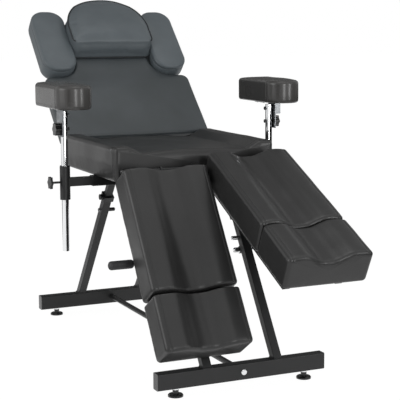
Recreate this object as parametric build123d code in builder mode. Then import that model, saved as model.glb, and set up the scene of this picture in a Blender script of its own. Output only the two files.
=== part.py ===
# Tattoo chair with a split leg rest: seat, reclining back, head pillow, two wings, two leg rests
# and two armrests on a black steel A-frame. Millimetres, Z up, +X to the occupant's left,
# the feet point to -Y. The origin is the middle of the floor plan, on the floor.
import os
from math import atan2, cos, degrees, radians, sin

from build123d import *

os.makedirs("parts", exist_ok=True)

# Base: two cross beams, four levelling feet
front_face_y = -540.15
beam_length = 600.0
beam_height = 55.0
beam_depth = 37.0
beam_wall = 2.0
beam_corner = 4.0
beam_spacing = 1215.0
beam_lift = 28.0
cap_thickness = 3.0
foot_inset = 66.0
foot_diameter = 50.0
foot_thickness = 8.0
foot_neck_diameter = 20.0
foot_stud_diameter = 10.0
foot_stud_reach = 14.0
foot_nut_size = 17.0
foot_nut_height = 6.0
hole_clearance = 0.3
running_fit = 0.05
soft_gap = 0.4
overrun = 5.0

# Legs: square tubes that telescope, held by a clamp and a pin
leg_spacing = 256.0
leg_size = 30.0
leg_wall = 2.0
leg_corner = 2.5
front_leg_inset = 33.6
rear_leg_inset = 71.1
clamp_drop = 100.0
inner_overlap = 150.0
clamp_size = 40.0
clamp_depth = 22.0
clamp_screw_diameter = 22.0
clamp_screw_length = 12.0
front_pin_drop = 78.0
rear_pin_drop = 60.0
pin_diameter = 8.0
plunger_diameter = 14.5
plunger_length = 30.0
pin_nut_size = 14.0
pin_nut_height = 7.0

# Stretcher and its bolts
stretcher_diameter = 20.0
stretcher_wall = 2.0
stretcher_plug = 30.0
stretcher_bolt_diameter = 8.0
stretcher_bolt_reach = 22.0
stretcher_head_diameter = 21.0
stretcher_head_height = 6.0
dome_share = 0.6

# Seat frame
rail_width = 30.0
rail_height = 36.0
rail_wall = 2.0
rail_front_reach = 14.0
rail_rear_reach = 20.0
rail_top = 648.0
cross_size = 25.0
cross_front_inset = 36.0
cross_rear_inset = 23.0
receiver_size = 36.0
receiver_reach = 3.0
receiver_y = 595.0
plate_thickness = 6.0
plate_head_radius = 11.0
axle_diameter = 12.0
front_axle_inset = 14.0
rear_axle_length = 322.0
front_axle_reach = 26.0
front_axle_rise = 40.0
rear_axle_reach = 45.0
rear_axle_rise = 52.0

# Seat
seat_front_y = 366.0
seat_rear_y = 885.0
seat_width = 600.0
seat_height = 121.0
seat_board_thickness = 12.0
seat_board_margin = 14.0
seat_draw = 8.0
seat_round = 12.0
seat_recess = 27.0
seat_crown = 6.0
bolster_width = 56.0
recess_inset = 103.0

# Back
back_angle = 45.0
back_foot_inset = 12.0
back_foot_rise = 118.0
back_start = 15.0
back_shoulder = 286.0
back_head = 592.0
back_width = 602.0
back_head_width = 310.0
back_shoulder_radius = 34.0
back_neck_radius = 75.0
back_head_radius = 60.0
back_corner_radius = 20.0
back_cushion_thickness = 56.0
back_board_thickness = 12.0
back_board_margin = 12.0
back_board_start = 10.0
back_draw = 6.0
back_round = 12.0
back_tube = 25.0
back_tube_spacing = 160.0
back_tube_end = 540.0
back_cross_at = 80.0
back_arm_end = 30.0
hub_diameter = 22.0
hub_length = 30.0
arm_thickness = 8.0

# Wings beside the head
wing_width = 128.0
wing_length = 308.0
wing_radius = 56.0
wing_start = 292.0
wing_inner = 172.0
wing_front = 40.0
wing_rear = 42.0
wing_draw = 9.0
wing_round = 20.0
bracket_thickness = 5.0
bracket_width = 30.0
bracket_outer = 250.0
bracket_spacing = 130.0
bracket_pad_width = 80.0
bracket_pad_length = 200.0
bracket_post_diameter = 20.0

# Head pillow
pillow_width = 336.0
pillow_start = 380.0
pillow_length = 253.0
pillow_arch = 160.0
pillow_arch_shares = [(0.92, 0.47), (0.70, 0.78)]
pillow_thickness = 78.0
pillow_slope = 24.0
pillow_corner = 10.0
pillow_draw = 5.0
pillow_round = 12.0

# Leg rests
rest_gap = 14.0
rest_start = 37.5
rest_top = 78.0
rest_thickness = 104.0
upper_length = 423.0
lower_length = 192.0
pad_gap = 10.0
left_droop_angle = 25.0
right_droop_angle = 56.0
rest_board_thickness = 12.0
rest_board_inset = 14.0
rest_draw = 12.0
rest_lift = 40.0
rest_lift_share = 0.5
rest_round = 12.0
rest_end_round = 4.0
rest_end_draw = 6.0
rest_valley = 12.0
rest_valley_half = 28.0
rest_valley_slope = 32.0
rest_tube = 20.0
rest_tube_width = 25.0
rest_tube_inner_x = 40.0
rest_tube_margin = 72.0
rest_tube_start = 60.0
rest_tube_end = 632.0
rest_strap_at = 460.0
rest_strap_width = 30.0
rest_strap_thickness = 4.0
rest_lobe = 3.0

# Armrests
arm_offset = 100.0
arm_bar_size = 30.0
arm_bar_wall = 2.0
arm_bar_inner_x = 150.0
sleeve_diameter = 36.0
sleeve_wall = 2.5
sleeve_below = 61.0
sleeve_above = 55.0
post_diameter = 25.0
post_wall = 1.5
post_length = 491.0
post_top_gap = 12.0
bush_collar = 3.0
bush_collar_diameter = 34.0
knob_diameter = 46.0
knob_thickness = 8.0
knob_stud_diameter = 8.0
knob_stud_length = 31.0
knob_lobes = 6
knob_lobe_diameter = 12.0
pad_width = 118.0
pad_rear_reach = 125.0
pad_seam_reach = 123.0
pad_nose = 35.0
pad_rise = 242.0
pad_thickness = 74.0
pad_corner = 16.0
pad_round = 9.0
bracket_plate = 3.0
bracket_web_depth = 56.0
bracket_lip = 22.0
bracket_drop = 100.0
bracket_flange_width = 84.0
bracket_flange_depth = 70.0
tilt_pivot_drop = 27.0
tilt_knob_drop = 75.0
tilt_bolt_diameter = 8.0
tilt_limit_angle = 12.0
tilt_slot_margin_angle = 2.0
tilt_cap_height = 5.0
tilt_cap_diameter = 13.0
star_thickness = 20.0

# Release lever and peg, in lugs behind the front legs
lever_offset = 30.2
lever_drop = 122.0
lever_rod_diameter = 12.0
lever_end_x = 366.0
lever_inner_x = 106.0
lever_collar_diameter = 20.0
lever_collar_length = 6.0
lug_width = 24.0
lug_radius = 12.0
grip_diameter = 30.0
grip_length = 88.0
peg_offset = 28.7
peg_drop = 109.0
peg_diameter = 11.0
peg_length = 83.0
peg_head_diameter = 20.0
peg_head_length = 22.0

# Worked out from the sizes above
beam_top = beam_lift + beam_height
rail_bottom = rail_top - rail_height
clamp_height = rail_bottom - clamp_drop
rear_beam_y = front_face_y + beam_spacing
leg_x = leg_spacing / 2
plate_x = leg_x + rail_width / 2
rail_front_y = seat_front_y - rail_front_reach
rail_rear_y = seat_rear_y + rail_rear_reach
cross_front_y = seat_front_y + cross_front_inset
cross_rear_y = seat_rear_y - cross_rear_inset
receiver_length = seat_width + 2 * receiver_reach
receiver_z = rail_top - receiver_size / 2
recess_half = seat_width / 2 - recess_inset
front_axle_length = seat_width - 2 * front_axle_inset
front_axle_y = seat_front_y - front_axle_reach
front_axle_z = rail_top + front_axle_rise
rear_axle_y = seat_rear_y + rear_axle_reach
rear_axle_z = rail_top + rear_axle_rise
back_foot_y = rear_axle_y - back_foot_inset
back_foot_z = rail_top + back_foot_rise
rest_width = (seat_width - rest_gap) / 2
rest_centre = rest_gap / 2 + rest_width / 2
rest_tube_outer_x = rest_gap / 2 + rest_width - rest_tube_margin
arm_x = seat_width / 2 + arm_offset
pad_rear_y = receiver_y + pad_rear_reach
pad_seam_y = receiver_y - pad_seam_reach
sleeve_bottom = receiver_z - sleeve_below
sleeve_top = receiver_z + sleeve_above
pad_bottom = rail_top + pad_rise
post_top = pad_bottom - post_top_gap
post_bottom = post_top - post_length
tilt_pivot_z = pad_bottom - tilt_pivot_drop
tilt_knob_z = pad_bottom - tilt_knob_drop
sides = {"right": -1, "left": 1}


def at(y):
    """Distance behind the front beam's face, as a Y in the part's frame."""
    return front_face_y + y


def save(piece, label):
    piece.part.label = label
    export_step(piece.part, f"parts/{label}.step")


def across(x, y, z):
    """Plane square to X: its local x runs along Y and its local y up."""
    return Plane(origin=(x, y, z), x_dir=(0, 1, 0), z_dir=(1, 0, 0))


def rest_plane(droop, along, x):
    """Plane square to a leg rest at a distance from the axle: local x is X, local y is up."""
    down = radians(droop)
    run = Vector(0, -cos(down), -sin(down))
    start = Vector(x, at(front_axle_y), front_axle_z)
    return Plane(origin=start + run * along, x_dir=(1, 0, 0), z_dir=run)


def rest_side(droop, x):
    """Plane square to X through the front axle: local x runs to the foot, local y is up."""
    down = radians(droop)
    axle = (x, at(front_axle_y), front_axle_z)
    return Plane(origin=axle, x_dir=(0, -cos(down), -sin(down)), z_dir=(-1, 0, 0))


def side_plane(pivot, angle, x):
    """Plane square to X through a pivot: local x runs along the angle, local y square to it."""
    lean = radians(angle)
    return Plane(origin=(x, *pivot), x_dir=(0, cos(lean), sin(lean)), z_dir=(1, 0, 0))


def back_plane(level):
    """Plane along the back at a level above its face: local x is X, local y runs to the head."""
    lean = radians(back_angle)
    normal = Vector(0, -sin(lean), cos(lean))
    foot = Vector(0, at(back_foot_y), back_foot_z)
    return Plane(origin=foot + normal * level, x_dir=(1, 0, 0), z_dir=normal)


def leg_plane(side, lean, foot_y, along):
    """Plane square to a leg, at a distance along it from the top of its beam."""
    tilt = radians(lean)
    run = Vector(0, sin(tilt), cos(tilt))
    foot = Vector(side * leg_x, foot_y, beam_top)
    return Plane(origin=foot + run * along, x_dir=(1, 0, 0), z_dir=run)


def tube_section(plane, width, height, wall, corner):
    with BuildSketch(plane) as section:
        RectangleRounded(width, height, corner)
        Rectangle(width - 2 * wall, height - 2 * wall, mode=Mode.SUBTRACT)
    return section.sketch


def disc(plane, diameter, bore=0):
    with BuildSketch(plane) as section:
        Circle(diameter / 2)
        if bore:
            Circle(bore / 2, mode=Mode.SUBTRACT)
    return section.sketch


# Cross beams: square-cornered steel tubes, holed for the feet and the stretcher bolt
def make_beam(face_y):
    with BuildPart() as beam:
        end = across(-beam_length / 2, face_y + beam_depth / 2, beam_lift + beam_height / 2)
        extrude(tube_section(end, beam_depth, beam_height, beam_wall, beam_corner), amount=beam_length)
        with BuildSketch(Plane.XY.offset(beam_lift - overrun)):
            for side in sides.values():
                with Locations((side * (beam_length / 2 - foot_inset), face_y + beam_depth / 2)):
                    Circle(foot_stud_diameter / 2 + hole_clearance)
        extrude(amount=overrun + beam_wall + overrun, mode=Mode.SUBTRACT)
        before = Plane(origin=(0, face_y - overrun, beam_lift + beam_height / 2), z_dir=(0, 1, 0))
        hole = disc(before, stretcher_bolt_diameter + 2 * hole_clearance)
        extrude(hole, amount=beam_depth + 2 * overrun, mode=Mode.SUBTRACT)
    return beam


save(make_beam(front_face_y), "front_beam")
save(make_beam(rear_beam_y), "rear_beam")

# Plastic caps pressed into the four beam ends
plug_margin = 2 * beam_wall + hole_clearance
with BuildPart() as beam_end_caps:
    for side in sides.values():
        for face_y in (front_face_y, rear_beam_y):
            middle = (side * beam_length / 2, face_y + beam_depth / 2, beam_lift + beam_height / 2)
            with BuildSketch(across(*middle)):
                RectangleRounded(beam_depth, beam_height, beam_corner)
            extrude(amount=side * cap_thickness)
            with BuildSketch(across(*middle)):
                Rectangle(beam_depth - plug_margin, beam_height - plug_margin)
            extrude(amount=-side * 3 * cap_thickness)
save(beam_end_caps, "beam_end_caps")

foot_places = {}
for end, face_y in (("front", front_face_y), ("rear", rear_beam_y)):
    for name, side in sides.items():
        foot_places[f"{end}_{name}"] = (side * (beam_length / 2 - foot_inset), face_y + beam_depth / 2)

# Levelling feet: a disc with a neck and a threaded stud in one piece
for name, place in foot_places.items():
    with BuildPart() as foot:
        with BuildSketch(Plane.XY):
            with Locations(place):
                Circle(foot_diameter / 2)
        extrude(amount=foot_thickness)
        chamfer(foot.edges().group_by(Axis.Z)[-1], foot_thickness / 3)
        with BuildSketch(Plane.XY.offset(foot_thickness)):
            with Locations(place):
                Circle(foot_neck_diameter / 2)
        extrude(amount=beam_lift - foot_nut_height - foot_thickness - hole_clearance)
        with BuildSketch(Plane.XY.offset(foot_thickness)):
            with Locations(place):
                Circle(foot_stud_diameter / 2)
        extrude(amount=beam_lift + foot_stud_reach - foot_thickness)
    save(foot, f"levelling_foot_{name}")

# Nuts welded under the beams, one for each foot
with BuildPart() as foot_nuts:
    with BuildSketch(Plane.XY.offset(beam_lift - foot_nut_height)):
        for place in foot_places.values():
            with Locations(place):
                RegularPolygon(foot_nut_size / 2, 6, major_radius=False)
                Circle(foot_stud_diameter / 2 + running_fit, mode=Mode.SUBTRACT)
    extrude(amount=foot_nut_height)
save(foot_nuts, "foot_nuts")

# Legs: the front pair leans back and the rear pair leans forward
front_foot_y = front_face_y + beam_depth / 2
rear_foot_y = rear_beam_y + beam_depth / 2
leg_rise = rail_top - beam_top
front_lean = degrees(atan2(at(seat_front_y) + front_leg_inset - front_foot_y, leg_rise))
rear_lean = degrees(atan2(rear_foot_y - at(seat_rear_y) + rear_leg_inset, leg_rise))
leg_layout = {}
for name, side in sides.items():
    leg_layout[f"front_{name}"] = (side, front_lean, front_foot_y)
    leg_layout[f"rear_{name}"] = (side, -rear_lean, rear_foot_y)


def leg_reach(lean, height):
    """Length along a leg from its beam up to a height."""
    return (height - beam_top) / cos(radians(lean))


def leg_offset(lean, foot_y, y, z):
    """Distance of a point behind a leg's middle line, square to the leg."""
    return (y - foot_y) * cos(radians(lean)) - (z - beam_top) * sin(radians(lean))


def pin_along(lean):
    """Place of a leg's locking pin along it; the front legs lean back, the rear ones forward."""
    return leg_reach(lean, clamp_height) - (front_pin_drop if lean > 0 else rear_pin_drop)


def leg_hole(side, lean, foot_y):
    """Hole along X through a leg for its locking pin."""
    start = leg_plane(side, lean, foot_y, pin_along(lean)).origin - Vector(leg_size, 0, 0)
    return disc(across(*start), pin_diameter + 2 * running_fit)


def leg_lug(axis, bore, x):
    """Outline of a lug welded behind a front leg, reaching to a bore along X."""
    reach = leg_offset(front_lean, front_foot_y, *axis) - leg_size / 2 + leg_wall / 2
    with BuildSketch(side_plane(axis, -front_lean, x)) as section:
        Circle(lug_radius)
        with Locations((-reach / 2, 0)):
            Rectangle(reach, 2 * lug_radius)
        Circle(bore / 2 + running_fit, mode=Mode.SUBTRACT)
    return section.sketch


def behind_leg(drop, offset):
    """Point behind a front leg: its drop under the clamp and its distance off the leg's middle line."""
    rise = clamp_height - drop - beam_top
    lean = radians(front_lean)
    return (front_foot_y + rise * sin(lean) / cos(lean) + offset / cos(lean), beam_top + rise)


# Outer leg tubes, cut level on the beam; the front ones carry the lugs of the lever and the peg
lever_axis = behind_leg(lever_drop, lever_offset)
peg_axis = behind_leg(peg_drop, peg_offset)
lugs = {"front_right": (lever_axis, lever_rod_diameter), "front_left": (peg_axis, peg_diameter)}
for name, (side, lean, foot_y) in leg_layout.items():
    top = leg_reach(lean, clamp_height)
    with BuildPart() as leg_tube:
        low = leg_plane(side, lean, foot_y, -leg_size)
        extrude(tube_section(low, leg_size, leg_size, leg_wall, leg_corner), amount=top + leg_size)
        split(bisect_by=Plane.XY.offset(beam_top), keep=Keep.TOP)
        extrude(leg_hole(side, lean, foot_y), amount=2 * leg_size, mode=Mode.SUBTRACT)
        if name in lugs:
            extrude(leg_lug(*lugs[name], side * leg_x - lug_width / 2), amount=lug_width)
    save(leg_tube, f"leg_tube_{name}")

# Inner leg tubes, cut level under the seat rails
inner_size = leg_size - 2 * leg_wall - 2 * running_fit
with BuildPart() as inner_leg_tubes:
    for side, lean, foot_y in leg_layout.values():
        top = leg_reach(lean, clamp_height)
        low = leg_plane(side, lean, foot_y, top - inner_overlap)
        inner = tube_section(low, inner_size, inner_size, leg_wall, leg_corner)
        extrude(inner, amount=leg_reach(lean, rail_top) - top + inner_overlap)
    split(bisect_by=Plane.XY.offset(rail_bottom), keep=Keep.BOTTOM)
    for side, lean, foot_y in leg_layout.values():
        extrude(leg_hole(side, lean, foot_y), amount=2 * leg_size, mode=Mode.SUBTRACT)
save(inner_leg_tubes, "inner_leg_tubes")

# Plastic clamps on the outer tubes' tops, each with its screw head on the outer side
with BuildPart() as leg_clamps:
    for side, lean, foot_y in leg_layout.values():
        base = leg_plane(side, lean, foot_y, leg_reach(lean, clamp_height))
        with BuildSketch(base):
            RectangleRounded(clamp_size, clamp_size, leg_corner)
            Rectangle(inner_size + 2 * running_fit, inner_size + 2 * running_fit, mode=Mode.SUBTRACT)
        extrude(amount=clamp_depth)
        middle = base.origin + base.z_dir * (clamp_depth / 2) + Vector(side * clamp_size / 2, 0, 0)
        extrude(disc(across(*middle), clamp_screw_diameter), amount=side * clamp_screw_length)
save(leg_clamps, "leg_clamps")

# Locking pins through the telescoped legs, each with a grip that has a rounded inner end
for name, (side, lean, foot_y) in leg_layout.items():
    middle = leg_plane(side, lean, foot_y, pin_along(lean)).origin
    with BuildPart() as leg_pin:
        outer = middle + Vector(side * (leg_size / 2 + pin_nut_height), 0, 0)
        extrude(disc(across(*outer), pin_diameter), amount=-side * (leg_size + pin_nut_height + overrun))
        inner = middle - Vector(side * (leg_size / 2 + running_fit), 0, 0)
        extrude(disc(across(*inner), plunger_diameter), amount=-side * plunger_length)
        tip = leg_pin.edges().filter_by(GeomType.CIRCLE).sort_by(Axis.X)[-1 if side < 0 else 0]
        fillet(tip, plunger_diameter / 3)
    save(leg_pin, f"leg_pin_{name}")

# Chrome nuts on the outer ends of the four pins
with BuildPart() as pin_nuts:
    for side, lean, foot_y in leg_layout.values():
        middle = leg_plane(side, lean, foot_y, pin_along(lean)).origin
        with BuildSketch(across(middle.X + side * leg_size / 2, middle.Y, middle.Z)):
            RegularPolygon(pin_nut_size / 2, 6, major_radius=False)
            Circle(pin_diameter / 2 + running_fit, mode=Mode.SUBTRACT)
        extrude(amount=side * pin_nut_height)
save(pin_nuts, "pin_nuts")

# Stretcher tube between the beams, with a solid plug in each end
stretcher_z = beam_lift + beam_height / 2
stretcher_start = front_face_y + beam_depth
stretcher_length = beam_spacing - beam_depth


def along_y(y, z, x=0):
    """Plane square to Y at a point, facing the head end."""
    return Plane(origin=(x, y, z), x_dir=(1, 0, 0), z_dir=(0, 1, 0))


with BuildPart() as stretcher:
    bore = stretcher_diameter - 2 * stretcher_wall
    extrude(disc(along_y(stretcher_start, stretcher_z), stretcher_diameter, bore), amount=stretcher_length)
    for y in (stretcher_start, rear_beam_y - stretcher_plug):
        extrude(disc(along_y(y, stretcher_z), bore), amount=stretcher_plug)
    bolt_hole = stretcher_bolt_diameter + 2 * running_fit
    for y in (stretcher_start, rear_beam_y - stretcher_bolt_reach):
        extrude(disc(along_y(y, stretcher_z), bolt_hole), amount=stretcher_bolt_reach, mode=Mode.SUBTRACT)
save(stretcher, "stretcher")

# Domed bolts through the two beams into the stretcher's plugs
with BuildPart() as stretcher_bolts:
    shank = beam_depth + stretcher_bolt_reach - hole_clearance
    for y, way in ((front_face_y, 1), (rear_beam_y + beam_depth, -1)):
        extrude(disc(along_y(y, stretcher_z), stretcher_bolt_diameter), amount=way * shank)
        extrude(disc(along_y(y, stretcher_z), stretcher_head_diameter), amount=-way * stretcher_head_height)
    ends = stretcher_bolts.edges().filter_by(GeomType.CIRCLE).sort_by(Axis.Y)
    fillet([ends[0], ends[-1]], stretcher_head_height * dome_share)
save(stretcher_bolts, "stretcher_bolts")


# Seat rails: front and rear stretches with the hinge plates welded to their outer sides
def rail_section(side, y):
    end = along_y(y, rail_top - rail_height / 2, side * leg_x)
    return tube_section(end, rail_width, rail_height, rail_wall, leg_corner)


def hinge_plate(side, outline, axle):
    with BuildSketch(across(side * plate_x, 0, 0)) as section:
        with BuildLine():
            Polyline(*outline, close=True)
        make_face()
        with Locations(axle):
            Circle(plate_head_radius)
            Circle(axle_diameter / 2 + running_fit, mode=Mode.SUBTRACT)
    return section.sketch


front_axle = (at(front_axle_y), front_axle_z)
rear_axle = (at(rear_axle_y), rear_axle_z)
front_outline = [
    (at(rail_front_y), rail_bottom + leg_corner),
    (at(rail_front_y) + 2 * rail_width, rail_bottom + leg_corner),
    (at(rail_front_y) + 2 * rail_width, rail_top - leg_corner),
    (at(seat_front_y) - overrun, rail_top - leg_corner),
    (at(seat_front_y) - overrun, front_axle_z),
    (at(front_axle_y), front_axle_z),
    (at(front_axle_y) + overrun, front_axle_z - plate_head_radius),
    (at(front_axle_y) + overrun, rail_top),
]
rear_outline = [
    (at(rail_rear_y) - 2 * rail_width, rail_bottom + leg_corner),
    (at(rail_rear_y), rail_bottom + leg_corner),
    (at(rear_axle_y) + plate_head_radius, rear_axle_z),
    (at(rear_axle_y) - plate_head_radius, rear_axle_z),
    (at(seat_rear_y) + overrun, rail_top - leg_corner),
    (at(rail_rear_y) - 2 * rail_width, rail_top - leg_corner),
]
with BuildPart() as seat_rails_front:
    for side in sides.values():
        length = receiver_y - receiver_size / 2 - rail_front_y
        extrude(rail_section(side, at(rail_front_y)), amount=length)
        extrude(hinge_plate(side, front_outline, front_axle), amount=side * plate_thickness)
save(seat_rails_front, "seat_rails_front")

with BuildPart() as seat_rails_rear:
    for side in sides.values():
        start = receiver_y + receiver_size / 2
        extrude(rail_section(side, at(start)), amount=rail_rear_y - start)
        extrude(hinge_plate(side, rear_outline, rear_axle), amount=side * plate_thickness)
save(seat_rails_rear, "seat_rails_rear")

# Two square tubes tie the rails together
with BuildPart() as seat_cross_tubes:
    for y in (cross_front_y, cross_rear_y):
        end = across(-leg_x + rail_width / 2, at(y), rail_top - rail_height / 2)
        cross = tube_section(end, cross_size, cross_size, rail_wall, leg_corner)
        extrude(cross, amount=leg_spacing - rail_width)
save(seat_cross_tubes, "seat_cross_tubes")

# Receiver tube that both arm bars slide in
receiver_wall = (receiver_size - arm_bar_size) / 2 - running_fit
with BuildPart() as arm_receiver:
    end = across(-receiver_length / 2, at(receiver_y), receiver_z)
    hollow = tube_section(end, receiver_size, receiver_size, receiver_wall, leg_corner)
    extrude(hollow, amount=receiver_length)
save(arm_receiver, "arm_receiver")

# Axles of the leg rests and of the back, fixed in the hinge plates
axles = {"front_axle": (front_axle_length, front_axle), "rear_axle": (rear_axle_length, rear_axle)}
for name, (length, axle) in axles.items():
    with BuildPart() as axle_rod:
        extrude(disc(across(-length / 2, *axle), axle_diameter), amount=length)
    save(axle_rod, name)


# Cushions are lofts through sections: the ends, or the top and bottom, are drawn in by small steps
def rounded_top(half, top, radius):
    """Right-hand top corner of a section, as an arc."""
    share = 1 - cos(radians(45))
    middle = (half - share * radius, top - share * radius)
    return ThreePointArc((half, top - radius), middle, (half - radius, top))


def seat_section(y, inset):
    """Seat cushion: flat side bolsters that slope down to a lower, slightly crowned middle."""
    half = seat_width / 2 - inset
    top = rail_top + seat_height - inset
    recess = top - seat_recess
    with BuildSketch(Plane(origin=(0, at(y), 0), x_dir=(1, 0, 0), z_dir=(0, -1, 0))) as section:
        with BuildLine():
            widest = (half, rail_top + seat_height / 2)
            foot = (half - seat_draw, rail_top)
            seat_side = Polyline((0, rail_top), foot, widest, (half, top - seat_round))
            seat_shoulder = rounded_top(half, top, seat_round)
            edge = (half - seat_round, top)
            seat_bolster = Polyline(edge, (half - bolster_width, top), (recess_half, recess))
            ThreePointArc((recess_half, recess), (0, recess + seat_crown), (-recess_half, recess))
            for line in (seat_side, seat_shoulder, seat_bolster):
                mirror(line, about=Plane.YZ)
        make_face()
    return section.sketch


seat_length = seat_rear_y - seat_front_y
seat_middle_y = at(seat_front_y) + seat_length / 2
with BuildSketch(Plane.XY.offset(rail_top)) as seat_board_outline:
    with Locations((0, seat_middle_y)):
        RectangleRounded(seat_width - 2 * seat_board_margin, seat_length - 2 * seat_board_margin, seat_round)

with BuildPart() as seat_board:
    extrude(seat_board_outline.sketch, amount=seat_board_thickness)
save(seat_board, "seat_board")

with BuildPart() as seat_cushion:
    steps = [(seat_front_y, seat_round), (seat_front_y + seat_round / 2, seat_round / 4),
             (seat_front_y + 2 * seat_round, 0), (seat_rear_y - 2 * seat_round, 0),
             (seat_rear_y - seat_round / 2, seat_round / 4), (seat_rear_y, seat_round)]
    loft([seat_section(y, inset) for y, inset in steps], ruled=True)
    extrude(seat_board_outline.sketch, amount=seat_board_thickness, mode=Mode.SUBTRACT)
save(seat_cushion, "seat_cushion")


# Outline corners that mirror each other, found by their place in the sketch
match = 0.01


def corners(section, x, y):
    return [v for v in section.vertices() if abs(abs(v.X) - x) < match and abs(v.Y - y) < match]


# Back: a steel frame hung on the rear axle, a board, and a cushion with shoulders and a narrow head
def back_outline(level, inset, start):
    half = back_width / 2 - inset
    neck = back_head_width / 2 - inset
    shoulder = back_shoulder - inset
    head = back_head - inset
    with BuildSketch(back_plane(level)) as section:
        with BuildLine():
            Polyline((0, start), (half, start), (half, shoulder), (neck, shoulder), (neck, head), (0, head))
            mirror(about=Plane.YZ)
        make_face()
        fillet(corners(section, neck, head), back_head_radius - inset)
        fillet(corners(section, half, start), back_corner_radius - inset)
        fillet(corners(section, half, shoulder), back_shoulder_radius - inset)
        fillet(corners(section, neck, shoulder), back_neck_radius + inset)
    return section.sketch


lean = radians(back_angle)
axle_from_foot = Vector(at(rear_axle_y) - at(back_foot_y), rear_axle_z - back_foot_z)
axle_along = axle_from_foot.X * cos(lean) + axle_from_foot.Y * sin(lean)
axle_level = axle_from_foot.Y * cos(lean) - axle_from_foot.X * sin(lean)
board_rear = -back_cushion_thickness - back_board_thickness
tube_middle = board_rear - back_tube / 2

with BuildPart() as back_cushion:
    levels = [(-back_cushion_thickness, back_draw), (-back_cushion_thickness / 2, 0),
              (-back_round, 0), (-back_round / 4, back_round / 3), (0, back_round)]
    loft([back_outline(level, inset, inset - back_start) for level, inset in levels], ruled=True)
save(back_cushion, "back_cushion")

with BuildPart() as back_board:
    outline = back_outline(board_rear, back_board_margin, back_board_start)
    extrude(outline, amount=back_board_thickness)
save(back_board, "back_board")


def back_side(x):
    """Plane square to X at the foot of the back: local x runs to the head, local y off its face."""
    return side_plane((at(back_foot_y), back_foot_z), back_angle, x)


def back_cross(along):
    """Plane square to the back's length: local x is X, local y is off its face."""
    base = back_side(0)
    return Plane(origin=base.origin + base.x_dir * along, x_dir=(1, 0, 0), z_dir=-base.x_dir)


# Two hub arms, two long tubes and a cross tube, with a bracket and a pad plate under each wing
arm_outline = [
    (axle_along - hub_diameter / 2, axle_level - hub_diameter / 4),
    (0, board_rear - back_tube),
    (back_arm_end, board_rear - back_tube),
    (back_arm_end, board_rear),
    (0, board_rear),
    (axle_along + leg_corner, axle_level),
]
with BuildPart() as back_frame:
    for side in sides.values():
        x = side * back_tube_spacing / 2
        hub = across(x - hub_length / 2, *rear_axle)
        extrude(disc(hub, hub_diameter, axle_diameter + 2 * running_fit), amount=hub_length)
        with BuildSketch(back_side(x - arm_thickness / 2)):
            with BuildLine():
                Polyline(*arm_outline, close=True)
            make_face()
            with Locations((axle_along, axle_level)):
                Circle(axle_diameter / 2 + running_fit, mode=Mode.SUBTRACT)
        extrude(amount=arm_thickness)
        with BuildSketch(back_cross(0)):
            with Locations((x, tube_middle)):
                Rectangle(back_tube, back_tube)
                Rectangle(back_tube - 2 * rail_wall, back_tube - 2 * rail_wall, mode=Mode.SUBTRACT)
        extrude(amount=-back_tube_end)
        for way in (-1, 1):
            along = wing_start + wing_length / 2 + way * bracket_spacing / 2
            reach = bracket_outer - back_tube_spacing / 2
            with BuildSketch(back_plane(board_rear)):
                with Locations((side * (bracket_outer - reach / 2), along)):
                    Rectangle(reach, bracket_width)
            extrude(amount=-bracket_thickness)
            with BuildSketch(back_plane(board_rear)):
                with Locations((side * (wing_inner + wing_width / 2), along)):
                    Circle(bracket_post_diameter / 2)
            extrude(amount=-board_rear - wing_rear)
        with BuildSketch(back_plane(-wing_rear)):
            with Locations((side * (wing_inner + wing_width / 2), wing_start + wing_length / 2)):
                RectangleRounded(bracket_pad_width, bracket_pad_length, back_corner_radius)
        extrude(amount=-bracket_thickness)
    with BuildSketch(back_side(-back_tube_spacing / 2 + back_tube / 2)):
        with Locations((back_cross_at, tube_middle)):
            Rectangle(back_tube, back_tube)
    extrude(amount=back_tube_spacing - back_tube)
save(back_frame, "back_frame")


# Wings: long rounded pads with domed faces, one on each side of the head
def wing_outline(side, level, inset):
    with BuildSketch(back_plane(level)) as section:
        with Locations((side * (wing_inner + wing_width / 2), wing_start + wing_length / 2)):
            RectangleRounded(wing_width - 2 * inset, wing_length - 2 * inset, wing_radius - inset)
    return section.sketch


for name, side in sides.items():
    with BuildPart() as wing:
        levels = [(-wing_rear, wing_draw), (-wing_rear / 2, 0), (wing_front - wing_round, 0),
                  (wing_front - wing_round / 4, wing_round / 3), (wing_front, wing_round)]
        loft([wing_outline(side, level, inset) for level, inset in levels], ruled=True)
    save(wing, f"wing_{name}")


# Head pillow: arched at the top, with a sloping lower face
def pillow_outline(level, inset):
    half = pillow_width / 2 - inset
    low = pillow_start + pillow_slope * level / pillow_thickness + inset
    top = pillow_start + pillow_length - inset
    spring = top - pillow_arch
    with BuildSketch(back_plane(level)) as section:
        with BuildLine():
            Polyline((0, low), (half, low), (half, spring))
            arch = [(x * half, spring + y * pillow_arch) for x, y in pillow_arch_shares]
            shoulder = [(half, spring), *arch]
            ThreePointArc(*shoulder)
            ThreePointArc(shoulder[-1], (0, top), (-shoulder[-1][0], shoulder[-1][1]))
            Polyline((0, low), (-half, low), (-half, spring))
            ThreePointArc(*[(-x, y) for x, y in shoulder])
        make_face()
        fillet(corners(section, half, low), pillow_corner)
    return section.sketch


with BuildPart() as pillow:
    levels = [(soft_gap, pillow_draw), (pillow_round, 0), (pillow_thickness - pillow_round, 0),
              (pillow_thickness - pillow_round / 4, pillow_round / 3), (pillow_thickness, pillow_round)]
    loft([pillow_outline(level, inset) for level, inset in levels], ruled=True)
save(pillow, "pillow")


# Leg rests: a frame on the front axle, a board, and two pads with a lengthwise valley
rest_low = rest_top - rest_thickness
rest_board_low = rest_low - rest_board_thickness


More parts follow.
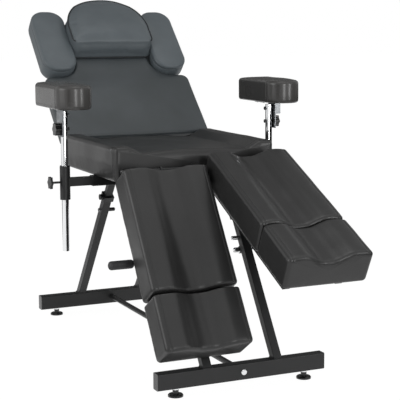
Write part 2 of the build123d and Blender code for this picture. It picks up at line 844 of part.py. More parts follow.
def rest_section(side, droop, along, inset, lift):
    half = rest_width / 2 - inset
    low = rest_low + lift
    top = rest_top - inset
    edge = top - rest_lobe
    slope = rest_valley_half + rest_valley_slope
    with BuildSketch(rest_plane(droop, along, side * rest_centre)) as section:
        with BuildLine():
            widest = (half, edge - 2 * rest_round)
            Polyline((0, low), (half - rest_draw, low), widest, (half, edge - rest_round))
            rounded_top(half, edge, rest_round)
            ThreePointArc((half - rest_round, edge), ((half - rest_round + slope) / 2, top), (slope, edge))
            Polyline((slope, edge), (rest_valley_half, edge - rest_valley), (0, edge - rest_valley))
            mirror(about=Plane.YZ)
        make_face()
    return section.sketch


def rest_pad(side, droop, start, length, lift):
    """Leg pad: its ends are drawn in a little, and its rear end may be cut back underneath."""
    end = start + length
    steps = [(start, rest_end_round, lift), (start + rest_end_draw, 0, lift * rest_lift_share),
             (start + rest_draw, 0, 0), (end - rest_end_draw, 0, 0), (end, rest_end_round, 0)]
    return loft([rest_section(side, droop, *step) for step in steps], ruled=True)


lower_start = rest_start + upper_length + pad_gap
rest_arm_outline = [
    (-hub_diameter / 4, -hub_diameter / 3),
    (rest_tube_start, rest_board_low - rest_tube),
    (rest_tube_start + rest_tube, rest_board_low - rest_tube),
    (rest_tube_start + rest_tube, rest_board_low),
    (rest_tube_start, rest_board_low),
    (hub_diameter / 3, hub_diameter / 4),
]
for name, side in sides.items():
    droop = right_droop_angle if name == "right" else left_droop_angle
    with BuildPart() as rest_frame:
        for x in (rest_tube_inner_x, rest_tube_outer_x):
            hub = across(side * x - hub_length / 2, *front_axle)
            extrude(disc(hub, hub_diameter, axle_diameter + 2 * running_fit), amount=hub_length)
            with BuildSketch(rest_side(droop, side * x + arm_thickness / 2)):
                with BuildLine():
                    Polyline(*rest_arm_outline, close=True)
                make_face()
                Circle(axle_diameter / 2 + running_fit, mode=Mode.SUBTRACT)
            extrude(amount=arm_thickness)
            with BuildSketch(rest_plane(droop, rest_tube_start, side * x)):
                with Locations((0, rest_board_low - rest_tube / 2)):
                    Rectangle(rest_tube_width, rest_tube)
                    Rectangle(rest_tube_width - 2 * rail_wall, rest_tube - 2 * rail_wall, mode=Mode.SUBTRACT)
            extrude(amount=rest_tube_end - rest_tube_start)
        span = rest_tube_outer_x - rest_tube_inner_x - rest_tube_width
        middle_x = side * (rest_tube_inner_x + rest_tube_outer_x) / 2
        with BuildSketch(rest_plane(droop, rest_strap_at, middle_x)):
            with Locations((0, rest_board_low - rest_strap_thickness / 2)):
                Rectangle(span, rest_strap_thickness)
        extrude(amount=rest_strap_width)
    save(rest_frame, f"leg_rest_frame_{name}")

    with BuildPart() as rest_board:
        with BuildSketch(rest_plane(droop, rest_tube_start, side * rest_centre)):
            with Locations((0, rest_low - rest_board_thickness / 2)):
                Rectangle(rest_width - 2 * rest_board_inset, rest_board_thickness)
        extrude(amount=lower_start + lower_length - rest_draw - rest_tube_start)
    save(rest_board, f"leg_rest_board_{name}")

    with BuildPart() as upper_pad:
        rest_pad(side, droop, rest_start, upper_length, rest_lift)
    save(upper_pad, f"upper_leg_pad_{name}")

    with BuildPart() as lower_pad:
        rest_pad(side, droop, lower_start, lower_length, 0)
    save(lower_pad, f"lower_leg_pad_{name}")


# Armrests: bar with a sleeve, bush, post, tilting bracket, pad and two knobs
def lobed_knob(plane):
    with BuildSketch(plane) as section:
        Circle(knob_diameter / 2 - knob_lobe_diameter / 3)
        with PolarLocations(knob_diameter / 2 - knob_lobe_diameter / 2, knob_lobes):
            Circle(knob_lobe_diameter / 2)
    return section.sketch


def pad_outline(side, level, inset):
    half = pad_width / 2 - inset
    nose = at(pad_seam_y) - pad_nose + inset
    rear = at(pad_rear_y) - inset
    with BuildSketch(Plane(origin=(side * arm_x, 0, level))) as section:
        with BuildLine():
            Polyline((-half, at(pad_seam_y)), (-half, rear), (half, rear), (half, at(pad_seam_y)))
            ThreePointArc((half, at(pad_seam_y)), (0, nose), (-half, at(pad_seam_y)))
        make_face()
        fillet(corners(section, half, rear), pad_corner - inset)
    return section.sketch


bush_outer = sleeve_diameter - 2 * sleeve_wall
web_x = arm_x + post_diameter / 2 + hole_clearance
for name, side in sides.items():
    with BuildPart() as arm_bar:
        inner_end = across(side * arm_bar_inner_x, at(receiver_y), receiver_z)
        bar = tube_section(inner_end, arm_bar_size, arm_bar_size, arm_bar_wall, leg_corner)
        extrude(bar, amount=side * (arm_x - arm_bar_inner_x))
        foot = Plane(origin=(side * arm_x, at(receiver_y), sleeve_bottom))
        extrude(disc(foot, sleeve_diameter), amount=sleeve_top - sleeve_bottom)
        extrude(disc(foot, bush_outer), amount=sleeve_top - sleeve_bottom, mode=Mode.SUBTRACT)
        stud_plane = across(side * arm_x, at(receiver_y), receiver_z)
        stud_hole = disc(stud_plane, knob_stud_diameter + 2 * running_fit)
        extrude(stud_hole, amount=side * sleeve_diameter, mode=Mode.SUBTRACT)
    save(arm_bar, f"arm_bar_{name}")

    with BuildPart() as bush:
        extrude(disc(foot, bush_outer - 2 * running_fit), amount=sleeve_top - sleeve_bottom + running_fit)
        top = Plane(origin=(side * arm_x, at(receiver_y), sleeve_top + running_fit))
        extrude(disc(top, bush_collar_diameter), amount=bush_collar)
        bore = disc(foot, post_diameter + 2 * running_fit)
        extrude(bore, amount=sleeve_top - sleeve_bottom + 2 * bush_collar, mode=Mode.SUBTRACT)
    save(bush, f"sleeve_bush_{name}")

    with BuildPart() as sleeve_knob:
        tip = arm_x + bush_outer / 2 + hole_clearance
        grip = arm_x + sleeve_diameter / 2 + knob_stud_length
        stud = disc(across(side * tip, at(receiver_y), receiver_z), knob_stud_diameter)
        extrude(stud, amount=side * (grip + knob_thickness / 2 - tip))
        extrude(lobed_knob(across(side * grip, at(receiver_y), receiver_z)), amount=side * knob_thickness)
    save(sleeve_knob, f"sleeve_knob_{name}")

    with BuildPart() as post:
        low = Plane(origin=(side * arm_x, at(receiver_y), post_bottom))
        extrude(disc(low, post_diameter, post_diameter - 2 * post_wall), amount=post_top - post_bottom)
        for z in (tilt_pivot_z, tilt_knob_z):
            hole = disc(across(side * arm_x, at(receiver_y), z), tilt_bolt_diameter + 2 * running_fit)
            extrude(hole, amount=post_diameter, both=True, mode=Mode.SUBTRACT)
    save(post, f"arm_post_{name}")

    swing = tilt_limit_angle + tilt_slot_margin_angle
    slot_line = CenterArc((0, 0), tilt_pivot_z - tilt_knob_z, 270 - swing, 2 * swing)
    with BuildPart() as pad_bracket:
        web_top = pad_bottom
        with BuildSketch(across(side * web_x, at(receiver_y), web_top - bracket_drop / 2)):
            RectangleRounded(bracket_web_depth, bracket_drop, bracket_plate)
        extrude(amount=side * bracket_plate)
        lip_height = bracket_drop / 2 - bracket_plate
        lip_x = side * (web_x + bracket_lip / 2)
        with BuildSketch(Plane(origin=(lip_x, at(receiver_y), web_top - lip_height / 2))):
            with Locations((0, -bracket_web_depth / 2 + bracket_plate / 2)):
                Rectangle(bracket_lip, bracket_plate)
        extrude(amount=lip_height / 2, both=True)
        with BuildSketch(Plane(origin=(side * arm_x, at(receiver_y), web_top - bracket_plate))):
            RectangleRounded(bracket_flange_width, bracket_flange_depth, bracket_plate)
        extrude(amount=bracket_plate)
        pivot = across(side * web_x, at(receiver_y), tilt_pivot_z)
        extrude(disc(pivot, tilt_bolt_diameter), amount=-side * (post_diameter + 2 * hole_clearance))
        cap = across(side * (web_x - post_diameter - 2 * hole_clearance), at(receiver_y), tilt_pivot_z)
        extrude(disc(cap, tilt_cap_diameter), amount=-side * tilt_cap_height)
        with BuildSketch(across(side * web_x, at(receiver_y), tilt_pivot_z)):
            SlotArc(slot_line, tilt_bolt_diameter + 4 * hole_clearance)
        extrude(amount=side * bracket_plate, mode=Mode.SUBTRACT)
    save(pad_bracket, f"pad_bracket_{name}")

    with BuildPart() as star_knob:
        inner = web_x - post_diameter - 2 * hole_clearance
        outer = web_x + bracket_plate + hole_clearance
        shank = disc(across(side * inner, at(receiver_y), tilt_knob_z), tilt_bolt_diameter)
        extrude(shank, amount=side * (outer - inner))
        end = disc(across(side * inner, at(receiver_y), tilt_knob_z), tilt_cap_diameter)
        extrude(end, amount=-side * tilt_cap_height)
        extrude(lobed_knob(across(side * outer, at(receiver_y), tilt_knob_z)), amount=side * star_thickness)
    save(star_knob, f"star_knob_{name}")

    with BuildPart() as arm_pad:
        pad_top = pad_bottom + pad_thickness
        levels = [(pad_bottom, pad_round / 3), (pad_bottom + pad_round, 0), (pad_top - pad_round, 0),
                  (pad_top - pad_round / 4, pad_round / 3), (pad_top, pad_round)]
        loft([pad_outline(side, level, inset) for level, inset in levels], ruled=True)
    save(arm_pad, f"arm_pad_{name}")

# Release lever: a rod in the right front leg's bearing, with a rubber grip outside the leg rest
lug_outer_x = leg_x + lug_width / 2 + running_fit
lug_inner_x = leg_x - lug_width / 2 - running_fit
with BuildPart() as release_lever:
    rod = disc(across(-lever_inner_x, *lever_axis), lever_rod_diameter)
    extrude(rod, amount=lever_inner_x - lever_end_x + overrun)
    extrude(disc(across(-lug_outer_x, *lever_axis), lever_collar_diameter), amount=-lever_collar_length)
    extrude(disc(across(-lug_inner_x, *lever_axis), lever_collar_diameter), amount=lever_collar_length)
save(release_lever, "release_lever")

with BuildPart() as lever_grip:
    extrude(disc(across(-lever_end_x, *lever_axis), grip_diameter), amount=grip_length)
    fillet(lever_grip.edges().filter_by(GeomType.CIRCLE), grip_diameter / 3)
    bore = disc(across(-lever_end_x + overrun, *lever_axis), lever_rod_diameter)
    extrude(bore, amount=grip_length, mode=Mode.SUBTRACT)
save(lever_grip, "lever_grip")

# Chrome peg with a round head, held in the left front leg's lug
with BuildPart() as chrome_peg:
    head = across(leg_x - lug_width / 2, *peg_axis)
    extrude(disc(head, peg_head_diameter), amount=-peg_head_length)
    fillet(chrome_peg.edges().filter_by(GeomType.CIRCLE).sort_by(Axis.X)[0], peg_head_diameter / 3)
    extrude(disc(head, peg_diameter), amount=peg_length)
save(chrome_peg, "chrome_peg")
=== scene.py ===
from math import ceil, cos, exp, pi, radians, sin, sqrt, tan

import bmesh
import bpy
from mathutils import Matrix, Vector, kdtree, noise


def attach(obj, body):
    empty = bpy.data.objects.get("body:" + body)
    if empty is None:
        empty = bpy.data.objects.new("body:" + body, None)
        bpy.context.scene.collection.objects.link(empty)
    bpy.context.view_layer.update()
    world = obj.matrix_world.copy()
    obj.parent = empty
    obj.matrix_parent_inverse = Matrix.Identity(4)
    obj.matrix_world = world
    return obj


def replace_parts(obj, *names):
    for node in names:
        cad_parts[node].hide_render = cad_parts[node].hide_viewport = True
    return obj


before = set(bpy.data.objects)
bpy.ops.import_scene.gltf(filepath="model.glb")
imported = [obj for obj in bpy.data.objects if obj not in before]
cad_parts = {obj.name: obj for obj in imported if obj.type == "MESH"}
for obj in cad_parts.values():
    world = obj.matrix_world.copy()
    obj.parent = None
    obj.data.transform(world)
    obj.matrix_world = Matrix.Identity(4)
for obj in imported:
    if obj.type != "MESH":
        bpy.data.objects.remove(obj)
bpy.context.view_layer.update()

# ---------------------------------------------------------------- Studio
# The chair stands on white paper, lit by a large soft lamp on the left, a weak one overhead
# and two upright strips in front. The paper looks white, and keeps the chair's shadow.
scene = bpy.context.scene
scene.view_settings.view_transform = "Standard"
lens = bpy.data.cameras.new("camera")
lens.sensor_width = 36
lens.lens = 110.84
lens.shift_x = -0.048
lens.shift_y = -0.0286
lens.clip_end = 100
camera = bpy.data.objects.new("camera", lens)
camera.location = (-1.7463, -4.01735, 1.1991)
look_down, look_right = 7.92, 25.49
camera.rotation_euler = (radians(90 - look_down), 0, -radians(look_right))
scene.collection.objects.link(camera)
scene.camera = camera


def linear(shade):
    """A shade written as sRGB hex, as the linear colour that a shader takes."""
    parts = [int(shade[i:i + 2], 16) / 255 for i in (1, 3, 5)]
    return (*[p / 12.92 if p <= 0.04045 else ((p + 0.055) / 1.055) ** 2.4 for p in parts], 1)


def add(tree, kind, settings=(), inputs=()):
    """Adds a node with its settings; each input gets a value or a link from a socket."""
    made = tree.nodes.new(kind)
    for key, value in dict(settings).items():
        setattr(made, key, value)
    for key, value in dict(inputs).items():
        if isinstance(value, bpy.types.NodeSocket):
            tree.links.new(value, made.inputs[key])
        else:
            made.inputs[key].default_value = value
    return made


def seen_rays(tree):
    """1 for what the eye sees straight on, in a reflection or through a clear thing."""
    path = add(tree, "ShaderNodeLightPath")
    mirrored = add(tree, "ShaderNodeMath", {"operation": "MAXIMUM"},
                   {0: path.outputs["Is Glossy Ray"], 1: path.outputs["Is Transmission Ray"]})
    return add(tree, "ShaderNodeMath", {"operation": "MAXIMUM"},
               {0: path.outputs["Is Camera Ray"], 1: mirrored.outputs[0]}).outputs[0]


# Paper that is near white where it is seen, dull as a source of light, and shaded either way
white = (1, 1, 1, 1)
paper = bpy.data.materials.new("studio_paper")
paper.use_nodes = True
tree = paper.node_tree
tree.nodes.clear()
seen = seen_rays(tree)
dull = add(tree, "ShaderNodeBsdfDiffuse", {}, {"Color": linear("#e8e8e8")})
faint = add(tree, "ShaderNodeBsdfDiffuse", {}, {"Color": linear("#5c5c5c")})
glow = add(tree, "ShaderNodeEmission", {}, {"Color": white, "Strength": 0.965})
bright = add(tree, "ShaderNodeAddShader", {}, {0: faint.outputs[0], 1: glow.outputs[0]})
paper_mix = add(tree, "ShaderNodeMixShader", {}, {0: seen, 1: dull.outputs[0], 2: bright.outputs[0]})
add(tree, "ShaderNodeOutputMaterial", {}, {"Surface": paper_mix.outputs[0]})

floor_mesh = bpy.data.meshes.new("studio_floor")
far = 30
floor_corners = [(-far, -far, 0), (far, -far, 0), (far, far, 0), (-far, far, 0)]
floor_mesh.from_pydata(floor_corners, [], [(0, 1, 2, 3)])
floor_mesh.materials.append(paper)
floor = bpy.data.objects.new("studio_floor", floor_mesh)
scene.collection.objects.link(floor)

# A sky that is white where it is seen, and weaker as light on the chair
sky_light = 0.4
world = bpy.data.worlds.new("studio")
scene.world = world
world.use_nodes = True
tree = world.node_tree
tree.nodes.clear()
sky = add(tree, "ShaderNodeMath", {"operation": "MULTIPLY_ADD"},
          {0: seen_rays(tree), 1: 1 - sky_light, 2: sky_light})
sky_glow = add(tree, "ShaderNodeBackground", {}, {"Color": white, "Strength": sky.outputs[0]})
add(tree, "ShaderNodeOutputWorld", {}, {"Surface": sky_glow.outputs[0]})

# Each lamp has a place and an aim, a width and a height in metres, and a power in watts
for name, place, aim, width, height, power in (
    ("key_lamp", (-4.3, -0.2, 1.9), (0, 0, 0.8), 2.8, 2.4, 58),
    ("middle_strip", (-0.2, -5.2, 1.1), (0, 0, 0.9), 0.65, 2.1, 62),
    ("right_strip", (2.6, -3.9, 1.1), (0, 0, 0.9), 0.5, 2.1, 50),
    ("top_lamp", (0.2, -0.6, 4.2), (0, 0.5, 1.0), 1.6, 1.6, 14),
):
    light = bpy.data.lights.new(name, "AREA")
    light.shape = "RECTANGLE"
    light.size = width
    light.size_y = height
    light.energy = power
    lamp = bpy.data.objects.new(name, light)
    lamp.location = place
    lamp.rotation_euler = (Vector(aim) - Vector(place)).to_track_quat("-Z", "Y").to_euler()
    scene.collection.objects.link(lamp)


def upright(near, far, low, high):
    """Corners of a flag that stands over a line on the floor, between two heights."""
    return [(*near, low), (*far, low), (*far, high), (*near, high)]


# Black and grey flags stand round and over the chair, where only reflections see them, and give
# chrome and glossy leather their dark sides. Each has its light, 0 for black, and its corners.
flags = {
    "flag_right": (0.0, upright((3.0, -3.0), (3.0, 2.4), 0, 0.8)),
    "flag_high": (0.5, upright((3.0, -3.0), (3.0, 2.4), 0.8, 3.0)),
    "flag_low": (0.2, upright((-5.0, 2.3), (-0.6, 2.3), 0, 0.3)),
    "flag_floor": (0.35, [(-1.7, -0.45, 0.004), (-0.48, -0.45, 0.004),
                          (-0.48, 1.2, 0.004), (-1.7, 1.2, 0.004)]),
    "flag_rear": (0.13, upright((-1.0, 5.0), (4.6, 4.0), 0, 3.4)),
    "flag_wing": (0.35, upright((-2.8, 4.9), (-1.02, 4.9), 0.85, 2.6)),
    "flag_seat": (0.6, upright((-2.8, 4.9), (-1.02, 4.9), 0, 0.35)),
    "flag_left": (0.0, upright((-3.6, -2.6), (-2.8, -3.9), 0, 2.2)),
    "flag_near": (0.0, upright((0.35, -1.8), (1.35, -0.9), 0, 0.75)),
    "flag_side": (0.0, upright((1.36, -0.9), (1.7, -0.1), 0, 0.6)),
    "flag_front": (0.0, upright((-0.75, -1.95), (0.34, -1.8), 0, 0.5)),
    "flag_over": (0.32, [(-3.0, 0.9, 4.8), (4.6, 0.9, 4.8), (4.6, 5.5, 4.2), (-3.0, 5.5, 4.2)]),
}
for name, (lit, corners) in flags.items():
    cloth = bpy.data.materials.new(f"{name}_cloth")
    cloth.use_nodes = True
    tree = cloth.node_tree
    tree.nodes.clear()
    dim = add(tree, "ShaderNodeEmission", {}, {"Color": white, "Strength": lit})
    add(tree, "ShaderNodeOutputMaterial", {}, {"Surface": dim.outputs[0]})
    flag_mesh = bpy.data.meshes.new(name)
    flag_mesh.from_pydata(corners, [], [(0, 1, 2, 3)])
    flag_mesh.materials.append(cloth)
    flag = bpy.data.objects.new(name, flag_mesh)
    flag.visible_camera = flag.visible_diffuse = flag.visible_shadow = False
    scene.collection.objects.link(flag)

# ------------------------------------------------------ Floor beams and feet
# Two rectangular steel tubes carry the chair. They are welded up and powder coated satin
# black, have moulded caps in their ends, and stand on levelling feet that screw into nuts.
MM = 0.001


def finish(name, shade, roughness, sockets=()):
    """A new material with one Principled shader and the piece's own coordinates."""
    material = bpy.data.materials.new(name)
    material.use_nodes = True
    tree = material.node_tree
    tree.nodes.clear()
    values = {"Base Color": linear(shade), "Roughness": roughness, **dict(sockets)}
    shader = add(tree, "ShaderNodeBsdfPrincipled", {}, values)
    add(tree, "ShaderNodeOutputMaterial", {}, {"Surface": shader.outputs[0]})
    place = add(tree, "ShaderNodeTexCoord").outputs["Object"]
    return material, tree, shader, place


def coat(material, *names):
    """Puts a finish on CAD nodes."""
    for name in names:
        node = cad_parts[name]
        if not node.material_slots:
            node.data.materials.append(material)
        for held in node.material_slots:
            held.material = material


# Nearly all of a noise's values lie in the middle of its range, which is spread over the result
noise_middle = {"From Min": 0.3, "From Max": 0.7}

# Polyester powder coat, sprayed and baked: satin, with an orange-peel ripple about 3 mm across
# and a faint unevenness in depth of colour.
powder_coat, tree, shader, place = finish("powder_coated_steel", "#1c1c1d", 0.42,
                                          {"IOR": 1.5, "Specular IOR Level": 0.36})
peel = add(tree, "ShaderNodeTexNoise", {}, {"Vector": place, "Scale": 1 / (3 * MM), "Detail": 2.0})
dent = add(tree, "ShaderNodeBump", {},
           {"Height": peel.outputs["Fac"], "Distance": 0.05 * MM, "Strength": 0.6})
patch = add(tree, "ShaderNodeTexNoise", {}, {"Vector": place, "Scale": 1 / (90 * MM), "Detail": 3.0})
depth = add(tree, "ShaderNodeMapRange", {}, {"Value": patch.outputs["Fac"], **noise_middle})
tint = add(tree, "ShaderNodeMix", {"data_type": "RGBA"},
           {"Factor": depth.outputs[0], 6: linear("#191a1a"), 7: linear("#202021")})
dull = add(tree, "ShaderNodeMapRange", {},
           {"Value": patch.outputs["Fac"], **noise_middle, "To Min": 0.38, "To Max": 0.48})
tree.links.new(dent.outputs[0], shader.inputs["Normal"])
tree.links.new(tint.outputs[2], shader.inputs["Base Color"])
tree.links.new(dull.outputs[0], shader.inputs["Roughness"])

# Moulded polypropylene: black, slightly glossy, with a fine spark-eroded grain.
moulded_plastic, tree, shader, place = finish("moulded_black_plastic", "#141415", 0.24, {"IOR": 1.49})
grain = add(tree, "ShaderNodeTexNoise", {}, {"Vector": place, "Scale": 1 / (1.2 * MM), "Detail": 2.0})
dent = add(tree, "ShaderNodeBump", {},
           {"Height": grain.outputs["Fac"], "Distance": 0.03 * MM, "Strength": 0.5})
dull = add(tree, "ShaderNodeMapRange", {}, {"Value": grain.outputs["Fac"], "To Min": 0.18, "To Max": 0.3})
tree.links.new(dent.outputs[0], shader.inputs["Normal"])
tree.links.new(dull.outputs[0], shader.inputs["Roughness"])

# Bright zinc or chrome plate on steel: a mirror that handling has dulled a little in patches.
chrome, tree, shader, place = finish("polished_chrome", "#e6e7e8", 0.08, {"Metallic": 1.0})
smear = add(tree, "ShaderNodeTexNoise", {}, {"Vector": place, "Scale": 1 / (18 * MM), "Detail": 4.0})
dull = add(tree, "ShaderNodeMapRange", {},
           {"Value": smear.outputs["Fac"], "From Min": 0.35, "From Max": 0.7, "To Min": 0.04, "To Max": 0.12})
tree.links.new(dull.outputs[0], shader.inputs["Roughness"])

coat(powder_coat, "front_beam", "rear_beam")
coat(moulded_plastic, "beam_end_caps", "levelling_foot_front_right", "levelling_foot_front_left",
     "levelling_foot_rear_right", "levelling_foot_rear_left")
coat(chrome, "foot_nuts")

# ---------------------------------------------------------------- Legs
# Square tubes that telescope, welded to the beams. A moulded clamp and a spring pin hold
# each pair, and beads of weld run round the foot of every leg.
coat(powder_coat, "leg_tube_front_right", "leg_tube_front_left", "leg_tube_rear_right", "leg_tube_rear_left",
     "inner_leg_tubes")
coat(moulded_plastic, "leg_clamps", "leg_pin_rear_right", "leg_pin_rear_left")
coat(chrome, "leg_pin_front_right", "leg_pin_front_left", "pin_nuts")


def new_inputs(tree, kinds):
    """Gives a tree its inputs, by name and kind, and tells the identifier of each."""
    made = {}
    for word, kind in kinds.items():
        socket = tree.interface.new_socket(word, in_out="INPUT", socket_type=f"NodeSocket{kind}")
        made[word] = socket.identifier
    return made


# Rows of beads along a line: ripples of weld here, stitches on the cushions
bead_tree = bpy.data.node_groups.new("bead_row", "GeometryNodeTree")
bead_inputs = new_inputs(bead_tree, {"Line": "Geometry", "Pitch": "Float", "Length": "Float",
                                     "Thickness": "Float", "Finish": "Material"})
bead_tree.interface.new_socket("Beads", in_out="OUTPUT", socket_type="NodeSocketGeometry")
given = add(bead_tree, "NodeGroupInput")
line = add(bead_tree, "GeometryNodeMeshToCurve", {}, {"Mesh": given.outputs["Line"]})
spaced = add(bead_tree, "GeometryNodeResampleCurve", {"mode": "LENGTH"},
             {"Curve": line.outputs[0], "Length": given.outputs["Pitch"]})
along = add(bead_tree, "GeometryNodeInputTangent")
turned = add(bead_tree, "FunctionNodeAlignRotationToVector", {"axis": "X"}, {"Vector": along.outputs[0]})
bead = add(bead_tree, "GeometryNodeMeshUVSphere", {}, {"Segments": 8, "Rings": 5, "Radius": 0.5})
thickness = given.outputs["Thickness"]
girth = add(bead_tree, "ShaderNodeCombineXYZ", {},
            {"X": given.outputs["Length"], "Y": thickness, "Z": thickness})
row = add(bead_tree, "GeometryNodeInstanceOnPoints", {},
          {"Points": spaced.outputs[0], "Instance": bead.outputs[0],
           "Rotation": turned.outputs[0], "Scale": girth.outputs[0]})
plain = add(bead_tree, "GeometryNodeRealizeInstances", {}, {"Geometry": row.outputs[0]})
painted = add(bead_tree, "GeometryNodeSetMaterial", {},
              {"Geometry": plain.outputs[0], "Material": given.outputs["Finish"]})
add(bead_tree, "NodeGroupOutput", {}, {0: painted.outputs[0]})


def grown(name, mesh, tree, inputs, sizes):
    """Runs a tree of geometry nodes, with sizes for its inputs, and keeps the result as a plain mesh."""
    seed = bpy.data.objects.new(f"{name}_seed", mesh)
    scene.collection.objects.link(seed)
    modifier = seed.modifiers.new("grow", "NODES")
    modifier.node_group = tree
    for word, size in sizes.items():
        modifier[inputs[word]] = size
    ready = seed.evaluated_get(bpy.context.evaluated_depsgraph_get())
    result = bpy.data.meshes.new_from_object(ready)
    seed.modifiers.remove(modifier)
    bpy.data.objects.remove(seed)
    for face in result.polygons:
        face.use_smooth = True
    piece = bpy.data.objects.new(name, result)
    scene.collection.objects.link(piece)
    return piece


def beads(name, lines, pitch, length, thickness, material):
    """Rows of beads along lines of points; a line that ends where it starts is closed."""
    points, edges = [], []
    for one in lines:
        first = len(points)
        points += one
        edges += [(first + i, first + i + 1) for i in range(len(one) - 1)]
    mesh = bpy.data.meshes.new(f"{name}_line")
    mesh.from_pydata(points, edges, [])
    sizes = {"Pitch": pitch * MM, "Length": length * MM, "Thickness": thickness * MM, "Finish": material}
    return grown(name, mesh, bead_tree, bead_inputs, sizes)


weld_lines = []
beam_top, leg_x, leg_half, leg_rise = 83, 128, 15, 565
for foot_y, top_y in ((-521.65, -140.55), (693.35, 273.75)):
    slope = (top_y - foot_y) / leg_rise
    reach = leg_half * sqrt(1 + slope * slope)
    for x in (-leg_x, leg_x):
        ring = [(x - leg_half, -reach), (x + leg_half, -reach), (x + leg_half, reach), (x - leg_half, reach)]
        ring = [Vector((px, foot_y + py, beam_top)) * MM for px, py in ring + ring[:1]]
        weld_lines.append(ring)
leg_welds = beads("leg_welds", weld_lines, 2.6, 4.4, 5.0, powder_coat)
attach(leg_welds, "base")

# ------------------------------------------------------------- Stretcher
# One round tube ties the beams together; a domed chrome bolt goes through each beam into it.
coat(powder_coat, "stretcher")
coat(chrome, "stretcher_bolts")

# ------------------------------------------------------------ Seat frame
# Two rails with cross tubes under the seat board, a square receiver for the arm bars, and
# the axles of the leg rests and the back, each closed by a moulded black cap.
coat(powder_coat, "seat_rails_front", "seat_rails_rear", "seat_cross_tubes", "arm_receiver", "front_axle",
     "rear_axle")


def sew(name, rings, material):
    """A closed skin through rings of points; a ring of one point closes an end."""
    shell = bmesh.new()
    made = [[shell.verts.new(point) for point in ring] for ring in rings]
    for low, high in zip(made, made[1:]):
        count = max(len(low), len(high))
        for i in range(count):
            j = (i + 1) % count
            face = (low[i % len(low)], low[j % len(low)], high[j % len(high)], high[i % len(high)])
            shell.faces.new(list(dict.fromkeys(face)))
    bmesh.ops.recalc_face_normals(shell, faces=shell.faces)
    for face in shell.faces:
        face.smooth = True
    mesh = bpy.data.meshes.new(name)
    shell.to_mesh(mesh)
    shell.free()
    mesh.materials.append(material)
    piece = bpy.data.objects.new(name, mesh)
    scene.collection.objects.link(piece)
    return piece


def turned_piece(name, middle, axis, outline, material):
    """A turned piece: an outline of (distance along, radius) spun round an axis."""
    sides = 24
    axis = Vector(axis).normalized()
    across = axis.orthogonal().normalized()
    up = axis.cross(across)
    rings = []
    for run, radius in outline:
        centre = Vector(middle) + axis * run
        turns = [2 * pi * i / sides for i in range(sides)] if radius else [0]
        rings.append([(centre + across * radius * cos(t) + up * radius * sin(t)) * MM for t in turns])
    return sew(name, rings, material)


def joined(pieces, name):
    """Several meshes made one piece."""
    shell = bmesh.new()
    mesh = pieces[0].data
    for piece in pieces:
        material = piece.data.materials[0]
        if material.name not in mesh.materials:
            mesh.materials.append(material)
        first = len(shell.faces)
        shell.from_mesh(piece.data)
        shell.faces.ensure_lookup_table()
        for face in shell.faces[first:]:
            face.material_index = mesh.materials.find(material.name)
    for piece in pieces[1:]:
        bpy.data.objects.remove(piece)
    shell.to_mesh(mesh)
    shell.free()
    pieces[0].name = name
    return pieces[0]


front_axle_y, front_axle_z = -200.15, 688
cap_outline = [(-4, 0), (-4, 8.2), (1.4, 8.2), (1.4, 7.2), (2.6, 6.6), (4.2, 4.6), (4.9, 2.4), (5.1, 0)]
axle_caps = []
for end, y, z in ((286, front_axle_y, front_axle_z), (161, 389.85, 700)):
    for side in (-1, 1):
        axle_caps.append(turned_piece("axle_cap", (side * end, y, z), (side, 0, 0), cap_outline,
                                      moulded_plastic))
axle_caps = joined(axle_caps, "axle_caps")
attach(axle_caps, "base")

# ------------------------------------------------------------------ Seat
# Foam on a plywood board under black imitation leather. Flat side bolsters slope to a lower,
# slightly crowned middle, and the cover is boxed, with two seams round its front edge.


def soft_leather(name, shade, pale_shade, gloss, sag=1.1):
    """Calendered PVC on knitted cloth: satin, with a pebbled grain about 2 mm across, and paler where it
    is stretched. It lies in shallow waves, sag mm deep."""
    material, tree, shader, place = finish(name, shade, gloss, {"IOR": 1.5, "Specular IOR Level": 0.38})
    pebble = add(tree, "ShaderNodeTexVoronoi", {"feature": "SMOOTH_F1"},
                 {"Vector": place, "Scale": 1 / (2.2 * MM), "Smoothness": 0.6})
    pores = add(tree, "ShaderNodeTexNoise", {}, {"Vector": place, "Scale": 1 / (0.9 * MM), "Detail": 2.0})
    slack = add(tree, "ShaderNodeTexNoise", {}, {"Vector": place, "Scale": 1 / (70 * MM), "Detail": 2.0})
    coarse = add(tree, "ShaderNodeBump", {},
                 {"Height": slack.outputs["Fac"], "Distance": sag * MM, "Strength": 0.4})
    fine = add(tree, "ShaderNodeBump", {"invert": True},
               {"Height": pebble.outputs["Distance"], "Distance": 0.07 * MM, "Strength": 0.4,
                "Normal": coarse.outputs[0]})
    skin = add(tree, "ShaderNodeBump", {},
               {"Height": pores.outputs["Fac"], "Distance": 0.03 * MM, "Strength": 0.3,
                "Normal": fine.outputs[0]})
    handled = add(tree, "ShaderNodeTexNoise", {},
                  {"Vector": place, "Scale": 1 / (160 * MM), "Detail": 3.0, "Roughness": 0.6})
    level = add(tree, "ShaderNodeMapRange", {}, {"Value": handled.outputs["Fac"], **noise_middle})
    tint = add(tree, "ShaderNodeMix", {"data_type": "RGBA"},
               {"Factor": level.outputs[0], 6: linear(shade), 7: linear(pale_shade)})
    rough = add(tree, "ShaderNodeMapRange", {},
                {"Value": handled.outputs["Fac"], **noise_middle,
                 "To Min": gloss + 0.04, "To Max": gloss - 0.04})
    tree.links.new(skin.outputs[0], shader.inputs["Normal"])
    tree.links.new(tint.outputs[2], shader.inputs["Base Color"])
    tree.links.new(rough.outputs[0], shader.inputs["Roughness"])
    return material


black_leather = soft_leather("black_imitation_leather", "#272727", "#2d2d2d", 0.33)

